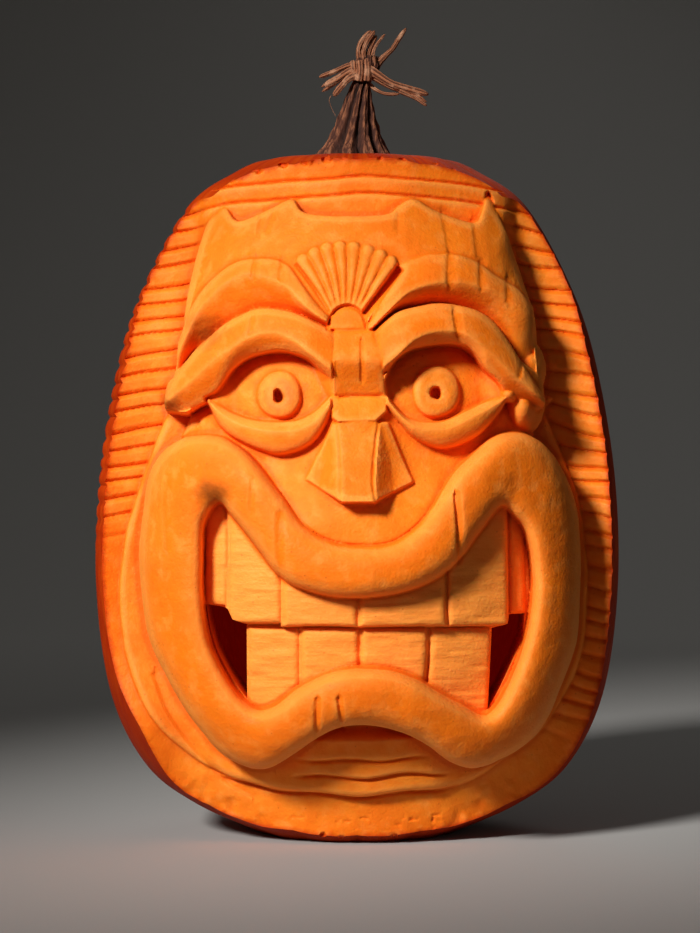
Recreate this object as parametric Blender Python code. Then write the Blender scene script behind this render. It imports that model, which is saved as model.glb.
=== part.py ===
"""Carved pumpkin lantern: a tall pumpkin whose front is cut back to a grinning mask.

The pumpkin is one solid. It starts as a turned, lobed blank. A carving solid, whose back is the
relief of the mask, is taken off its front, and the hollow and the two mouth corners are cut out.
The dried stem stands on the dimple at the top, 0.3 mm clear of it.

The relief is a height over the front view: x to the right, z up and height towards the viewer (-Y),
all in millimetres. Each feature is cut `depth` mm below the dome that lies under the skin.
"""
import math

import bpy
import numpy as np

MM = 0.001

# ---- driving dimensions, mm -------------------------------------------------------------------
BLANK_PROFILE = [(60, 0), (101, 19), (131, 43), (152, 86), (161, 150), (159, 220), (147, 290),
                 (131, 337), (105, 383), (78, 403), (57, 411), (34, 404)]   # radius, height
BLANK_FLATNESS = 0.93            # front-to-back size over width
LOBES = 12                       # ribs of the fruit
LOBE_DEPTH = 2.5
DIMPLE_FLOOR = 400.0             # height of the flat floor round the stem
BORDER_SIDE = 42.0               # height of the cut-back border at the sides
BORDER_MIDDLE = 66.0             # and at the middle of the top and the bottom
CHIN_RISE = 13.0                 # how far the chin swells out towards the lower lip
FLUTE_PITCH = 10.4
FLUTE_DEPTH = 2.9
INNER_DROP = 6.0                 # how far the brows sink towards the bridge
PUPIL = 3.6                      # radius
LIP_RISE = 20.0                  # roll of the lips over their foot
HOLLOW_HALF_WIDTH = 120.0
HOLLOW_FRONT = 55.0
HOLLOW_BACK = 116.0
HOLLOW_FLOOR = 34.0
HOLLOW_TOP = 368.0
HOLLOW_RINGS = 11
STEM_RIBS = 10
STEM_SIDES = 3 * STEM_RIBS
STEM_GAP = 0.3
RELIEF_STEP = 2.2                # spacing of the relief grid
WALL = 2.4                       # width over which an upright wall of the relief falls
RELIEF_FACES = 5000              # triangles kept in the carving solid
SWEEP_SIDES = 6                  # sides of the dried fibres
BLANK_SIDES = 72
HOLLOW_SIDES = 28
CARVING_FRONT = 200.0            # how far the carving solid reaches in front of the axis
STEM_PROFILE = [(27, DIMPLE_FLOOR + STEM_GAP, -2), (26, 408, -2), (23, 417, -2), (17.5, 425, -1),
                (12, 439, 0), (8.3, 452, 1), (5.8, 462, 3), (8, 467, 5), (8.6, 471, 6),
                (6.5, 477, 6.5)]     # radius, height, lean
FIBRES = [([(4, 0, 470), (-6, -2, 470), (-16, -4, 467), (-23, -5, 462)], 5.0, 1.6),
          ([(2, -2, 466), (-8, -5, 463), (-17, -7, 455)], 4.0, 1.2),
          ([(6, 0, 472), (6, 1, 484), (9, 2, 494)], 5.0, 2.2),
          ([(9, 0, 470), (17, 1, 478), (25, 2, 487), (31, 2, 495)], 4.2, 1.0),
          ([(9, -1, 467), (20, -3, 461), (34, -5, 458), (45, -6, 453)], 5.0, 1.4)]
                                 # route, first radius, last radius

# ---- outlines of the mask, mm (x, z) ----------------------------------------------------------
BLOCK = [(-104, 298), (-103, 315), (-99, 338), (-94, 357), (-89, 370), (-79, 378), (-71, 369),
         (-55, 375), (-39, 382), (-32, 374), (-16, 371), (16, 371), (25, 377), (34, 381), (47, 374),
         (68, 368), (74, 376), (78, 389), (84, 376), (92, 359), (99, 335), (106, 312), (107, 290),
         (110, 268), (104, 256), (60, 256), (0, 256), (-60, 256), (-104, 256), (-112, 264),
         (-108, 280)]
UPPER_BROW_LEFT = dict(
    top=[(-107, 296), (-100, 314), (-92, 327), (-79, 338), (-70, 343), (-59, 345), (-47, 344),
         (-39, 339), (-31, 327), (-23, 317), (-9, 305)],
    crest=[(-107, 288), (-100, 303), (-92, 317), (-78, 329), (-65, 335), (-53, 333), (-41, 327),
           (-31, 316), (-9, 302)],
    low=[(-107, 268), (-99, 288), (-88, 299), (-78, 307), (-67, 312), (-56, 315), (-44, 314),
         (-33, 311), (-21, 306), (-9, 299)])
UPPER_BROW_RIGHT = dict(
    top=[(3, 300), (16, 324), (24, 339), (36, 345), (47, 347), (59, 347), (71, 343), (82, 336),
         (94, 329), (104, 318)],
    crest=[(3, 298), (24, 319), (36, 327), (53, 331), (73, 329), (88, 322), (104, 310)],
    low=[(3, 296), (16, 308), (24, 313), (36, 316), (47, 318), (59, 317), (70, 314), (79, 308),
         (87, 298), (94, 287), (104, 280)])
BROW_LEFT = dict(
    top=[(-114, 267), (-108, 277), (-99, 288), (-88, 299), (-78, 307), (-67, 312), (-56, 315),
         (-44, 314), (-33, 311), (-21, 306), (-7, 299)],
    crest=[(-114, 261), (-94, 276), (-82, 286), (-70, 294), (-59, 299), (-47, 300), (-37, 296),
           (-27, 288), (-7, 272)],
    low=[(-114, 257), (-100, 257), (-85, 262), (-78, 268), (-70, 279), (-62, 285), (-53, 287),
         (-44, 287), (-33, 285), (-24, 279), (-7, 262)])
BROW_RIGHT = dict(
    top=[(4, 297), (16, 308), (24, 313), (36, 316), (47, 318), (59, 317), (70, 314), (79, 308),
         (87, 298), (94, 287), (102, 275), (110, 264)],
    crest=[(4, 272), (21, 285), (31, 295), (42, 300), (56, 301), (67, 296), (78, 288), (88, 278),
           (110, 261)],
    low=[(4, 264), (20, 280), (30, 287), (38, 290), (50, 291), (62, 289), (70, 280), (75, 271),
         (85, 266), (110, 258)])
EYE_LEFT = dict(
    centre=(-44.5, 265), iris=13.0,
    socket=[(-88, 263), (-80, 268), (-71, 280), (-61, 287), (-45, 290), (-32, 287), (-23, 280),
            (-13, 267), (-23, 250), (-42, 243), (-62, 244), (-78, 254)],
    lid_top=[(-86, 264), (-74, 256), (-62, 251), (-50, 249), (-36, 250), (-24, 256), (-11, 268)],
    lid_low=[(-86, 260), (-78, 246), (-68, 238), (-55, 233), (-43, 231), (-31, 234), (-22, 242),
             (-11, 262)])
EYE_RIGHT = dict(
    centre=(46, 267), iris=13.8,
    socket=[(15, 264), (19, 280), (30, 290), (51, 294), (64, 291), (73, 280), (84, 267), (74, 255),
            (57, 246), (39, 246), (25, 253)],
    lid_top=[(13, 268), (26, 255), (36, 251), (50, 250), (62, 255), (74, 261), (88, 266)],
    lid_low=[(13, 262), (26, 248), (35, 240), (48, 234), (60, 236), (72, 243), (82, 254),
             (88, 263)])
MUZZLE = [(-104, 243), (-98, 256), (-88, 264), (0, 270), (90, 266), (102, 256), (106, 243),
          (60, 170), (0, 150), (-60, 170)]
LIPS_OUTER = [(-103, 241), (-91, 243), (-78, 241), (-66, 234), (-55, 224), (-41, 206), (-30, 191),
              (-16, 182), (1, 180), (16, 181), (27, 186), (40, 198), (54, 219), (65, 230), (77, 240),
              (88, 244), (100, 243), (112, 236), (123, 220), (131, 198), (134, 172), (133, 145),
              (130, 119), (122, 94), (112, 72), (98, 58), (83, 51), (68, 48), (53, 53), (39, 63),
              (24, 71), (7, 75), (-10, 74), (-24, 67), (-39, 56), (-53, 48), (-68, 49), (-83, 57),
              (-98, 77), (-111, 98), (-122, 119), (-128, 145), (-129, 172), (-126, 198), (-123, 219),
              (-115, 233)]
LIPS_INNER = [(-80, 203), (-71, 194), (-57, 176), (-44, 161), (-30, 153), (-13, 149), (7, 149),
              (27, 152), (44, 159), (58, 170), (71, 187), (83, 201), (91, 196), (98, 186),
              (102, 163), (101, 143), (96, 120), (87, 97), (75, 81), (60, 87), (47, 95), (33, 104),
              (16, 109), (-4, 109), (-21, 104), (-35, 97), (-47, 88), (-57, 85), (-66, 90),
              (-75, 101), (-84, 120), (-89, 146), (-90, 172), (-89, 190)]
COLLAR = [(-98, 272), (-112, 259), (-121, 240), (-131, 208), (-139, 180), (-142, 150), (-140, 120),
          (-133, 95), (-120, 72), (-95, 48), (-60, 36), (0, 30), (60, 36), (92, 52), (111, 66),
          (128, 92), (135, 115), (139, 157), (137, 180), (133, 204), (127, 222), (120, 240),
          (112, 257), (98, 270)]
CORNER_LEFT = [(-88, 144), (-75, 142), (-72, 136), (-64, 133), (-64, 89), (-68, 94), (-75, 104),
               (-82, 118), (-86, 132)]
CORNER_RIGHT = [(88, 138), (98, 138), (97, 123), (89, 106), (83, 94), (76, 82), (78, 130),
                (87, 133)]
UPPER_TEETH = [(-90, -75, 144, 31), (-75, -43, 134, 26), (-43, 1, 132, 25), (1, 51, 132, 25),
               (51, 88, 132, 27), (88, 99, 139, 33)]       # left, right, bottom, depth
LOWER_TEETH = [(-64, -33, 32), (-33, 2, 30), (2, 40, 30), (40, 78, 32)]   # left, right, depth
BITE_LINE = 132.0
CHIN_STEPS = [(30, 2.5, 0.0013, -13, 72), (42, 2.0, 0.0006, 8, 50), (52.5, 1.0, 0.0003, 2, 38)]
                                 # height, rise, bow, middle, half width
TOOTH_GAP = 1.2
GUM_DEPTH = 36.0
GAP_DEPTH = 3.0


# ---- plane geometry ---------------------------------------------------------------------------
def smooth_line(points, closed=False, per_span=5):
    """A rounded line through a few points (Catmull-Rom)."""
    p = np.array(points, float)
    if closed:
        p = np.vstack([p[-1], p, p[0], p[1]])
    else:
        p = np.vstack([2 * p[0] - p[1], p, 2 * p[-1] - p[-2]])
    t = np.arange(per_span)[:, None] / per_span
    spans = [0.5 * (2 * b + (c - a) * t + (2 * a - 5 * b + 4 * c - d) * t ** 2
                    + (3 * b - a - 3 * c + d) * t ** 3)
             for a, b, c, d in zip(p[:-3], p[1:-2], p[2:-1], p[3:])]
    line = np.vstack(spans)
    return line if closed else np.vstack([line, p[-2]])


def over_x(points, x):
    """The height of a rounded line above each x."""
    line = smooth_line(points)
    order = np.argsort(line[:, 0])
    return np.interp(x, line[order, 0], line[order, 1])


def distance(line, x, z, closed=False):
    """The distance from each point to a line."""
    ends = np.roll(line, -1, axis=0) if closed else line[1:]
    best = np.full(x.shape, np.inf)
    for (ax, az), (bx, bz) in zip(line, ends):
        dx, dz = bx - ax, bz - az
        t = np.clip(((x - ax) * dx + (z - az) * dz) / (dx * dx + dz * dz + 1e-12), 0, 1)
        best = np.minimum(best, (x - ax - t * dx) ** 2 + (z - az - t * dz) ** 2)
    return np.sqrt(best)


def inside(outline, x, z):
    """Which points lie inside a closed outline."""
    hit = np.zeros(x.shape, bool)
    for (ax, az), (bx, bz) in zip(outline, np.roll(outline, -1, axis=0)):
        if az != bz:
            crosses = (az > z) != (bz > z)
            hit ^= crosses & (x < ax + (z - az) * (bx - ax) / (bz - az))
    return hit


def edge_distance(outline, x, z):
    """The distance to a closed outline, positive inside it."""
    return np.where(inside(outline, x, z), 1, -1) * distance(outline, x, z, True)


def ease(t):
    """0 to 1 with soft ends."""
    t = np.clip(t, 0, 1)
    return t * t * (3 - 2 * t)


def quarter_round(t):
    """0 to 1 along a quarter circle that starts upright and ends level."""
    return np.sqrt(1 - (1 - np.clip(t, 0, 1)) ** 2)


# ---- the blank --------------------------------------------------------------------------------
def blank_radius(z):
    line = smooth_line(BLANK_PROFILE[:-1])
    return np.interp(z, line[:, 1], line[:, 0])


def dome(x, z):
    """The smooth dome under the skin that the mask follows."""
    radius = blank_radius(np.clip(z, 25, 400))
    return BLANK_FLATNESS * np.sqrt(np.maximum(radius ** 2 - x ** 2, 30.0 ** 2))


# ---- the relief: each step changes height, an array over the grid (x, z) -------------------------
def window(x, z, points, margin=1.0):
    """The block of the grid round some points."""
    low, high = np.min(points, axis=0) - margin, np.max(points, axis=0) + margin
    return np.ix_((z[:, 0] >= low[1]) & (z[:, 0] <= high[1]), (x[0] >= low[0]) & (x[0] <= high[0]))


def blend(height, w, level, edge):
    """Bring a window of the relief to a level where edge > 0, with a wall where edge = 0."""
    height[w] += np.clip(0.5 + edge / WALL, 0, 1) * (level - height[w])


def stand(height, x, z, outline, level, rim, round_over):
    """Set the inside of an outline to a level, its rim rounded over."""
    w = window(x, z, outline, WALL)
    edge = edge_distance(outline, x[w], z[w])
    blend(height, w, level[w] - round_over * (1 - quarter_round(edge / rim)), edge)


def knife_cut(height, x, z, points, width, depth):
    """A V cut along a line."""
    line = smooth_line(points)
    w = window(x, z, line, width)
    height[w] -= depth * np.clip(1 - distance(line, x[w], z[w]) / (width / 2), 0, 1)


def border_level(x, z):
    """The cut-back border: high in the middle, low at the shoulders, full at the lower left."""
    out = np.abs(x)
    crown = (1 + np.cos(math.pi * np.clip(out / 115, 0, 1))) / 2
    dish = np.clip((out - 115) / 37, 0, 2) ** 2
    shoulder = ease((z - 290) / 50) * ease((out - 75) / 30)
    full = np.exp(-((x + 128) / 26) ** 2 - ((z - 62) / 48) ** 2)
    chin = CHIN_RISE * np.clip((z - 3) / 62, 0, 1) * ease((128 - out) / 60) * ease((150 - z) / 60)
    return (BORDER_SIDE + (BORDER_MIDDLE - BORDER_SIDE) * crown
            + 7 * dish - 10 * shoulder + 18 * full * (1 - chin / 30) + chin)


def cut_flutes(height, x, z):
    """Gouge cuts down both sides: flat lands, each with a sharp groove under its lower edge."""
    turn = (z + 0.18 * (np.abs(x) - 120)) / FLUTE_PITCH
    turn = turn + 0.12 * np.sin(z / 17) + 0.1 * np.sin(z / 7.3 + 1)
    turn = turn + 0.16 * np.sin(z / 12.5) * np.sin(x / 9 + z / 23) * (x > 0)
    up = turn % 1                # 0 at the groove under each land
    groove = np.maximum(1 - up / 0.22, 0.9 * ease((up - 0.66) / 0.34))
    left = ease((-x - 88) / 6) * ease((z - 165) / 40)
    right = ease((x - 88) / 6) * ease((z - 50) / 30)
    strength = 0.8 + 0.3 * np.sin(3.1 * np.floor(turn))
    height -= FLUTE_DEPTH * strength * groove * (left + right) * ease((388 - z) / 10)


def cut_top_bands(height, x, z):
    """Two chiselled steps above the forehead."""
    fade = ease((97 - np.abs(x)) / 10) * (z > 300)
    for level, rise in ((395, 4.5), (384.5, 4.0)):
        above = level - 0.0007 * x ** 2 - z
        height += fade * (rise * ease(above / 0.8) - 1.8 * np.exp(-(above / 1.2) ** 2))


def cut_chin(height, x, z):
    """Three chiselled steps below the lower lip."""
    for level, rise, bow, middle, half in CHIN_STEPS:
        above = z - level - bow * x ** 2 - 0.8 * np.sin(x / 7 + level)
        fade = ease((half - np.abs(x - middle)) / 16) * ease((72 - z) / 8)
        height += fade * (rise * ease(above / 1.4) - 2.0 * np.exp(-(above / 1.3) ** 2))


def stand_block(height, x, z):
    """The forehead block, a crown with four points, well rounded over down its right side."""
    outline = smooth_line(BLOCK, True)
    w = window(x, z, outline, WALL)
    gx, gz = x[w], z[w]
    edge = edge_distance(outline, gx, gz)
    lumps = 1.2 * np.sin(gx / 14 + 1) * np.sin(gz / 11) + 0.8 * np.sin(gx / 23 + gz / 17)
    soft = 4 + 12 * ease((gx - 55) / 40) * ease((366 - gz) / 20)
    worn = 0.8 * soft * (1 - quarter_round(edge / soft))
    blend(height, w, dome(gx, gz) - 12 + lumps - worn, edge)


def lay_roll(height, x, z, top, crest, low, depth, top_drop, low_drop):
    """A roll between a top and a low line, highest along its crest."""
    w = window(x, z, top + low, WALL)
    gx, gz = x[w], z[w]
    high, down = over_x(top, gx), over_x(low, gx)
    middle = np.clip(over_x(crest, gx), down + 0.5, high - 0.5)
    below = np.clip((middle - gz) / (middle - down), 0, 1)
    drop = (top_drop * (1 - quarter_round((high - gz) / (high - middle)))
            + low_drop * below ** 1.35)
    ends = np.array([top[0][0], top[-1][0]])
    inner, outer = ends[np.argsort(np.abs(ends))]
    drop = drop + INNER_DROP * (1 - ease(np.abs(gx - inner) / 24))
    drop = drop + 7 * (1 - quarter_round(np.abs(gx - outer) / 9))
    edge = np.minimum.reduce([gx - top[0][0], top[-1][0] - gx, high - gz, gz - down])
    blend(height, w, dome(gx, gz) - depth - drop, edge)


def swell(height, x, z, centre, half, depth, drop):
    """A soft mound that runs out into what lies round it."""
    w = window(x, z, [np.subtract(centre, half), np.add(centre, half)])
    gx, gz = x[w], z[w]
    out = ((gx - centre[0]) / half[0]) ** 2 + ((gz - centre[1]) / half[1]) ** 2
    mound = dome(gx, gz) - depth - drop * out
    height[w] = np.where(out < 1, np.maximum(height[w], mound), height[w])


def lay_muzzle(height, x, z):
    """The cheeks and upper lip, deepest under the eyes."""
    depth = 19 + (13 - 11 * np.exp(-((x - 1) / 24) ** 2)) * ease((z - 185) / 45)
    stand(height, x, z, np.array(MUZZLE, float), dome(x, z) - depth, rim=14, round_over=20)


def cut_eye(height, x, z, centre, iris, socket, lid_top, lid_low):
    """The eyeball, its disc and ragged pupil, and the thick lower lid."""
    cx, cz = centre
    bulge = 5 * np.clip(1 - ((x - cx) / 36) ** 2 - ((z - cz) / 26) ** 2, -1, 1)
    corners = 12 * ease((np.abs(x - cx) - 24) / 18)
    ball = dome(x, z) - 32 + bulge + corners
    stand(height, x, z, smooth_line(socket, True), ball, rim=1, round_over=0)
    angle = np.linspace(0, 2 * math.pi, 40, endpoint=False)
    circle = np.stack([np.cos(angle), 1.08 * np.sin(angle)], axis=1)
    stand(height, x, z, circle * iris + centre, dome(x, z) - 21.5, rim=6, round_over=5)
    ragged = PUPIL * (1 + 0.14 * np.sin(2 * angle + 1) + 0.07 * np.sin(3 * angle))
    stand(height, x, z, circle * ragged[:, None] + (cx - 0.5, cz - 1), dome(x, z) - 33,
          rim=1, round_over=0)
    w = window(x, z, lid_top + lid_low, WALL)
    gx, gz = x[w], z[w]
    high, low = over_x(lid_top, gx), over_x(lid_low, gx)
    across = np.clip((high - gz) / np.maximum(high - low, 0.3), 0, 1)
    front = np.clip((across - 0.3) / 0.7, 0, 1)
    drop = 5 * (1 - np.clip(across / 0.3, 0, 1)) + 12 * (1 - quarter_round(1 - front))
    edge = np.minimum.reduce([gx - lid_top[0][0], lid_top[-1][0] - gx, high - gz, gz - low])
    blend(height, w, dome(gx, gz) - 17 - drop, edge)


def stand_nose(height, x, z):
    """The bridge, the bar below it and the wedge of the nose with its two side facets."""
    under = dome(x, z)
    bridge = np.array([(-13, 303), (-14, 284), (-15, 263), (17, 263), (14, 284), (10, 303)], float)
    fold = np.where(z > 284, 7 + (z - 284) * 0.3, 7 + (284 - z) * 0.78)
    stand(height, x, z, bridge, under - fold, rim=3, round_over=2)
    bar = np.array([(-15, 263), (-15, 252), (-12, 249), (11, 249), (17, 255), (17, 263)], float)
    stand(height, x, z, bar, under - 16.5 - (z - 249) * 0.43, rim=1.5, round_over=1)
    wedge = np.array([(-15, 249), (-29, 216), (-9, 203), (10, 203), (33, 216), (18, 249)], float)
    fall = np.clip((249 - z) / 46, 0, 1)
    beside = np.maximum(-13 + 4 * fall - x, x - 12 + 2 * fall)
    front = 125 + 18 * fall - 1.2 * np.maximum(beside, 0)
    stand(height, x, z, wedge, front, rim=1, round_over=0)
    knife_cut(height, x, z, [(12, 249), (9.5, 230), (9, 215), (10.5, 204)], width=3, depth=1.8)
    knife_cut(height, x, z, [(-13, 249), (-10.5, 225), (-9.5, 206)], width=3, depth=1.3)


def stand_fan(height, x, z):
    """The scalloped fan of ribs on the forehead and the half-moon cap below it."""
    cx, cz, ribs = -6.6, 300.0, 8
    w = window(x, z, [(cx - 58, cz - 4), (cx + 58, cz + 58)])
    gx, gz = x[w], z[w]
    under = dome(gx, gz)
    angle = np.degrees(np.arctan2(gx - cx, gz - cz))
    reach = np.hypot(gx - cx, gz - cz)
    turn = (angle + 35) / 72 * ribs
    rib = np.abs(np.sin(math.pi * turn)) ** 0.6
    tip = 50 + 5 * np.cos(np.radians(angle * 1.6)) - 2.2 * (1 - rib)
    beside = np.maximum(-turn, turn - ribs) * math.radians(72 / ribs) * reach
    right = turn > ribs / 2
    sunk = under - 13 - np.where(right, 6, 1) * np.clip(1 - beside / 5, 0, 1)
    ground = np.minimum.reduce([np.where(right, 5, 1.5) - beside, 50 - reach, reach - 14])
    blend(height, w, np.minimum(height[w], sunk), ground)
    raised = under - 11.5 + 4.5 * ease((reach - 16) / 28) - 2.0 * (1 - rib) * ease((reach - 14) / 10)
    raised = raised - 2.5 * (1 - quarter_round((tip - reach) / 3))
    blend(height, w, raised, np.minimum.reduce([-beside, tip - reach, reach - 12]))
    from_cap = np.hypot((gx + 5.5) * 1.15, gz - 303)
    blend(height, w, under - 15.5, np.minimum(14 - from_cap, gz - 303))
    blend(height, w, under - 12 - 0.12 * from_cap, np.minimum(12.4 - from_cap, gz - 303))


def lay_lips(height, x, z):
    """The lips, one closed roll round the mouth."""
    outer, inner = smooth_line(LIPS_OUTER, True), smooth_line(LIPS_INNER, True)
    w = window(x, z, outer, WALL)
    gx, gz = x[w], z[w]
    from_outer, from_inner = edge_distance(outer, gx, gz), -edge_distance(inner, gx, gz)
    across = 2 * from_outer / (np.abs(from_outer) + np.abs(from_inner) + 1e-9) - 1
    roll = np.sqrt(np.clip(1 - across ** 2, 0, 1))
    foot = np.where(across < 0, LIP_RISE + 5, LIP_RISE)
    blend(height, w, dome(gx, gz) - 5 - foot * (1 - roll), np.minimum(from_outer, from_inner))


def cut_mouth(height, x, z):
    """The two rows of teeth, and the ground behind them."""
    mouth = smooth_line(LIPS_INNER, True)
    w = window(x, z, mouth)
    gx, gz = x[w], z[w]
    under = dome(gx, gz)
    blend(height, w, under - GUM_DEPTH, edge_distance(mouth, gx, gz))
    upper = [(left, right, gz - bottom, depth) for left, right, bottom, depth in UPPER_TEETH]
    lower = [(left, right, BITE_LINE - 0.6 - gz, depth) for left, right, depth in LOWER_TEETH]
    for spread, sunk in ((TOOTH_GAP, GAP_DEPTH), (-TOOTH_GAP / 2, 0)):
        for left, right, from_bite, depth in upper + lower:
            sides = np.minimum(gx - left, right - gx) + spread
            edge = np.minimum.reduce([sides, from_bite, edge_distance(mouth, gx, gz) + 4])
            rounded = 2.5 * (1 - quarter_round(edge / 2.5)) if sunk == 0 else 0
            blend(height, w, under - depth - sunk - rounded, edge)


def mask_relief(x, z):
    """The height of the carved front over the grid (x, z)."""
    height = border_level(x, z)
    cut_flutes(height, x, z)
    cut_top_bands(height, x, z)
    stand(height, x, z, smooth_line(COLLAR, True), border_level(x, z) + 6, rim=5, round_over=5)
    cut_chin(height, x, z)
    stand_block(height, x, z)
    for roll in (UPPER_BROW_LEFT, UPPER_BROW_RIGHT):
        lay_roll(height, x, z, **roll, depth=5, top_drop=6, low_drop=19)
    lay_muzzle(height, x, z)
    for roll in (BROW_LEFT, BROW_RIGHT):
        lay_roll(height, x, z, **roll, depth=3, top_drop=8, low_drop=16)
    swell(height, x, z, (-101, 268), (14, 12), depth=8, drop=20)
    swell(height, x, z, (99, 262), (13, 20), depth=15, drop=26)
    stand_fan(height, x, z)
    cut_eye(height, x, z, **EYE_LEFT)
    cut_eye(height, x, z, **EYE_RIGHT)
    stand_nose(height, x, z)
    cut_mouth(height, x, z)
    lay_lips(height, x, z)
    return height


# ---- Blender meshes -----------------------------------------------------------------------------
def material(name, rgb, roughness):
    made = bpy.data.materials.new(name)
    made.use_nodes = True
    shader = made.node_tree.nodes["Principled BSDF"]
    shader.inputs["Base Color"].default_value = (*rgb, 1)
    shader.inputs["Roughness"].default_value = roughness
    shader.inputs["Metallic"].default_value = 0.0
    return made


def add_object(name, points_mm, faces, finish=None):
    mesh = bpy.data.meshes.new(name)
    mesh.from_pydata([tuple(p) for p in np.asarray(points_mm, float) * MM], [], faces)
    mesh.validate()
    made = bpy.data.objects.new(name, mesh)
    bpy.context.scene.collection.objects.link(made)
    if finish:
        mesh.materials.append(finish)
        mesh.shade_smooth()
        mesh.set_sharp_from_angle(angle=math.radians(40))
    return made


def add_cutter(name, points_mm, faces):
    made = add_object(name, points_mm, faces)
    made.hide_render = True
    made.display_type = "WIRE"
    return made


def combine(target, tool, operation):
    step = target.modifiers.new(tool.name, "BOOLEAN")
    step.object = tool
    step.operation = operation
    step.solver = "EXACT"
    step.use_self = True


def ring_faces(rings, sides, first_cap=True, last_cap=True):
    """Faces of a stack of rings, wound outwards for rings that run upwards."""
    faces = []
    for r in range(rings - 1):
        for s in range(sides):
            a, b = r * sides + s, r * sides + (s + 1) % sides
            faces.append((a, b, b + sides, a + sides))
    if first_cap:
        faces.append(tuple(reversed(range(sides))))
    if last_cap:
        faces.append(tuple(range((rings - 1) * sides, rings * sides)))
    return faces


def turned(profile, sides, depth_scale=1.0, lobes=0, lobe_depth=0.0):
    """Points and faces of a turned solid; lobes make it swell between shallow furrows."""
    points = []
    for radius, height in profile:
        fade = min(1.0, radius / 60)
        for s in range(sides):
            angle = 2 * math.pi * s / sides
            furrow = 1 - abs(math.sin(lobes * angle / 2)) ** 0.8 if lobes else 0
            r = radius - lobe_depth * fade * furrow
            points.append((r * math.sin(angle), -r * depth_scale * math.cos(angle), height))
    return points, ring_faces(len(profile), sides)


def blank_profile():
    line = smooth_line(BLANK_PROFILE, per_span=2)
    return [(r, max(z, 0.0)) for r, z in line] + [(32.0, DIMPLE_FLOOR)]


def carving_solid():
    """Everything in front of the mask relief: the relief as a sheet, closed by a flat front."""
    x, z = np.meshgrid(np.arange(-168, 168.1, RELIEF_STEP), np.arange(-8, 421, RELIEF_STEP))
    sheet = np.stack([x, -mask_relief(x, z), z], axis=-1).reshape(-1, 3)
    rows, cols = x.shape
    corner = np.arange(rows * cols).reshape(rows, cols)
    quads = np.stack([corner[:-1, :-1], corner[1:, :-1], corner[1:, 1:], corner[:-1, 1:]], axis=-1)
    rim = np.concatenate([corner[0, :-1], corner[:-1, -1], corner[-1, :0:-1], corner[:0:-1, 0]])
    front = sheet[rim]
    front[:, 1] = -CARVING_FRONT
    count = len(rim)
    outer = rows * cols + np.arange(count)
    walls = np.stack([rim, np.roll(rim, -1), np.roll(outer, -1), outer], axis=-1)
    faces = quads.reshape(-1, 4).tolist() + walls.tolist() + [outer.tolist()]
    return np.vstack([sheet, front]), faces


def prism(outline, back, front):
    """A solid with this clockwise outline (x, z), running from height back to height front."""
    count = len(outline)
    points = [(x, -level, z) for level in (back, front) for x, z in reversed(outline)]
    sides = [(i, (i + 1) % count, count + (i + 1) % count, count + i) for i in range(count)]
    return points, sides + [tuple(reversed(range(count))), tuple(range(count, 2 * count))]


def hollow():
    """The scooped-out inside: a squashed ball, flatter behind the mask than at the back."""
    middle, half = (HOLLOW_TOP + HOLLOW_FLOOR) / 2, (HOLLOW_TOP - HOLLOW_FLOOR) / 2
    points = []
    for level in np.linspace(-0.97, 0.97, HOLLOW_RINGS):
        radius = (1 - abs(level) ** 2.6) ** (1 / 2.6)
        for s in range(HOLLOW_SIDES):
            angle = 2 * math.pi * s / HOLLOW_SIDES
            depth = HOLLOW_FRONT if math.cos(angle) > 0 else HOLLOW_BACK
            points.append((radius * HOLLOW_HALF_WIDTH * math.sin(angle),
                           -radius * depth * math.cos(angle), middle + half * level))
    return points, ring_faces(HOLLOW_RINGS, HOLLOW_SIDES)


# ---- the stem -----------------------------------------------------------------------------------
def stem_core():
    """The ribbed stalk, flaring out over the dimple and leaning a little to the right."""
    points = []
    for radius, height, lean in STEM_PROFILE:
        for s in range(STEM_SIDES):
            rib = abs(math.sin(math.pi * s / 3 + 0.4))
            r = radius * (0.78 + 0.22 * rib)
            angle = 2 * math.pi * s / STEM_SIDES + 0.004 * (height - DIMPLE_FLOOR)
            points.append((lean + r * math.sin(angle), -r * math.cos(angle), height))
    return points, ring_faces(len(STEM_PROFILE), STEM_SIDES)


def fibre(route, start, end):
    """A tapering strand of dried stem along a few points."""
    line = np.array([smooth_axis(route, t) for t in np.linspace(0, 1, 3 * len(route))])
    along = np.gradient(line, axis=0)
    along /= np.linalg.norm(along, axis=1)[:, None]
    across = np.cross(along, (0, 1, 0.2))
    across /= np.linalg.norm(across, axis=1)[:, None]
    beside = np.cross(along, across)
    points = []
    for i, centre in enumerate(line):
        radius = start + (end - start) * i / (len(line) - 1)
        for s in range(SWEEP_SIDES):
            angle = 2 * math.pi * s / SWEEP_SIDES
            swing = across[i] * math.cos(angle) + beside[i] * math.sin(angle)
            points.append(centre + radius * swing)
    return points, ring_faces(len(line), SWEEP_SIDES)


def smooth_axis(route, t):
    """A point on a rounded route through a few points in space."""
    route = np.array(route, float)
    ends = np.vstack([2 * route[0] - route[1], route, 2 * route[-1] - route[-2]])
    place = min(t * (len(route) - 1), len(route) - 1.0001)
    i, u = int(place), place - int(place)
    a, b, c, d = ends[i:i + 4]
    return 0.5 * (2 * b + (c - a) * u + (2 * a - 5 * b + 4 * c - d) * u ** 2
                  + (3 * b - a - 3 * c + d) * u ** 3)


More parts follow.
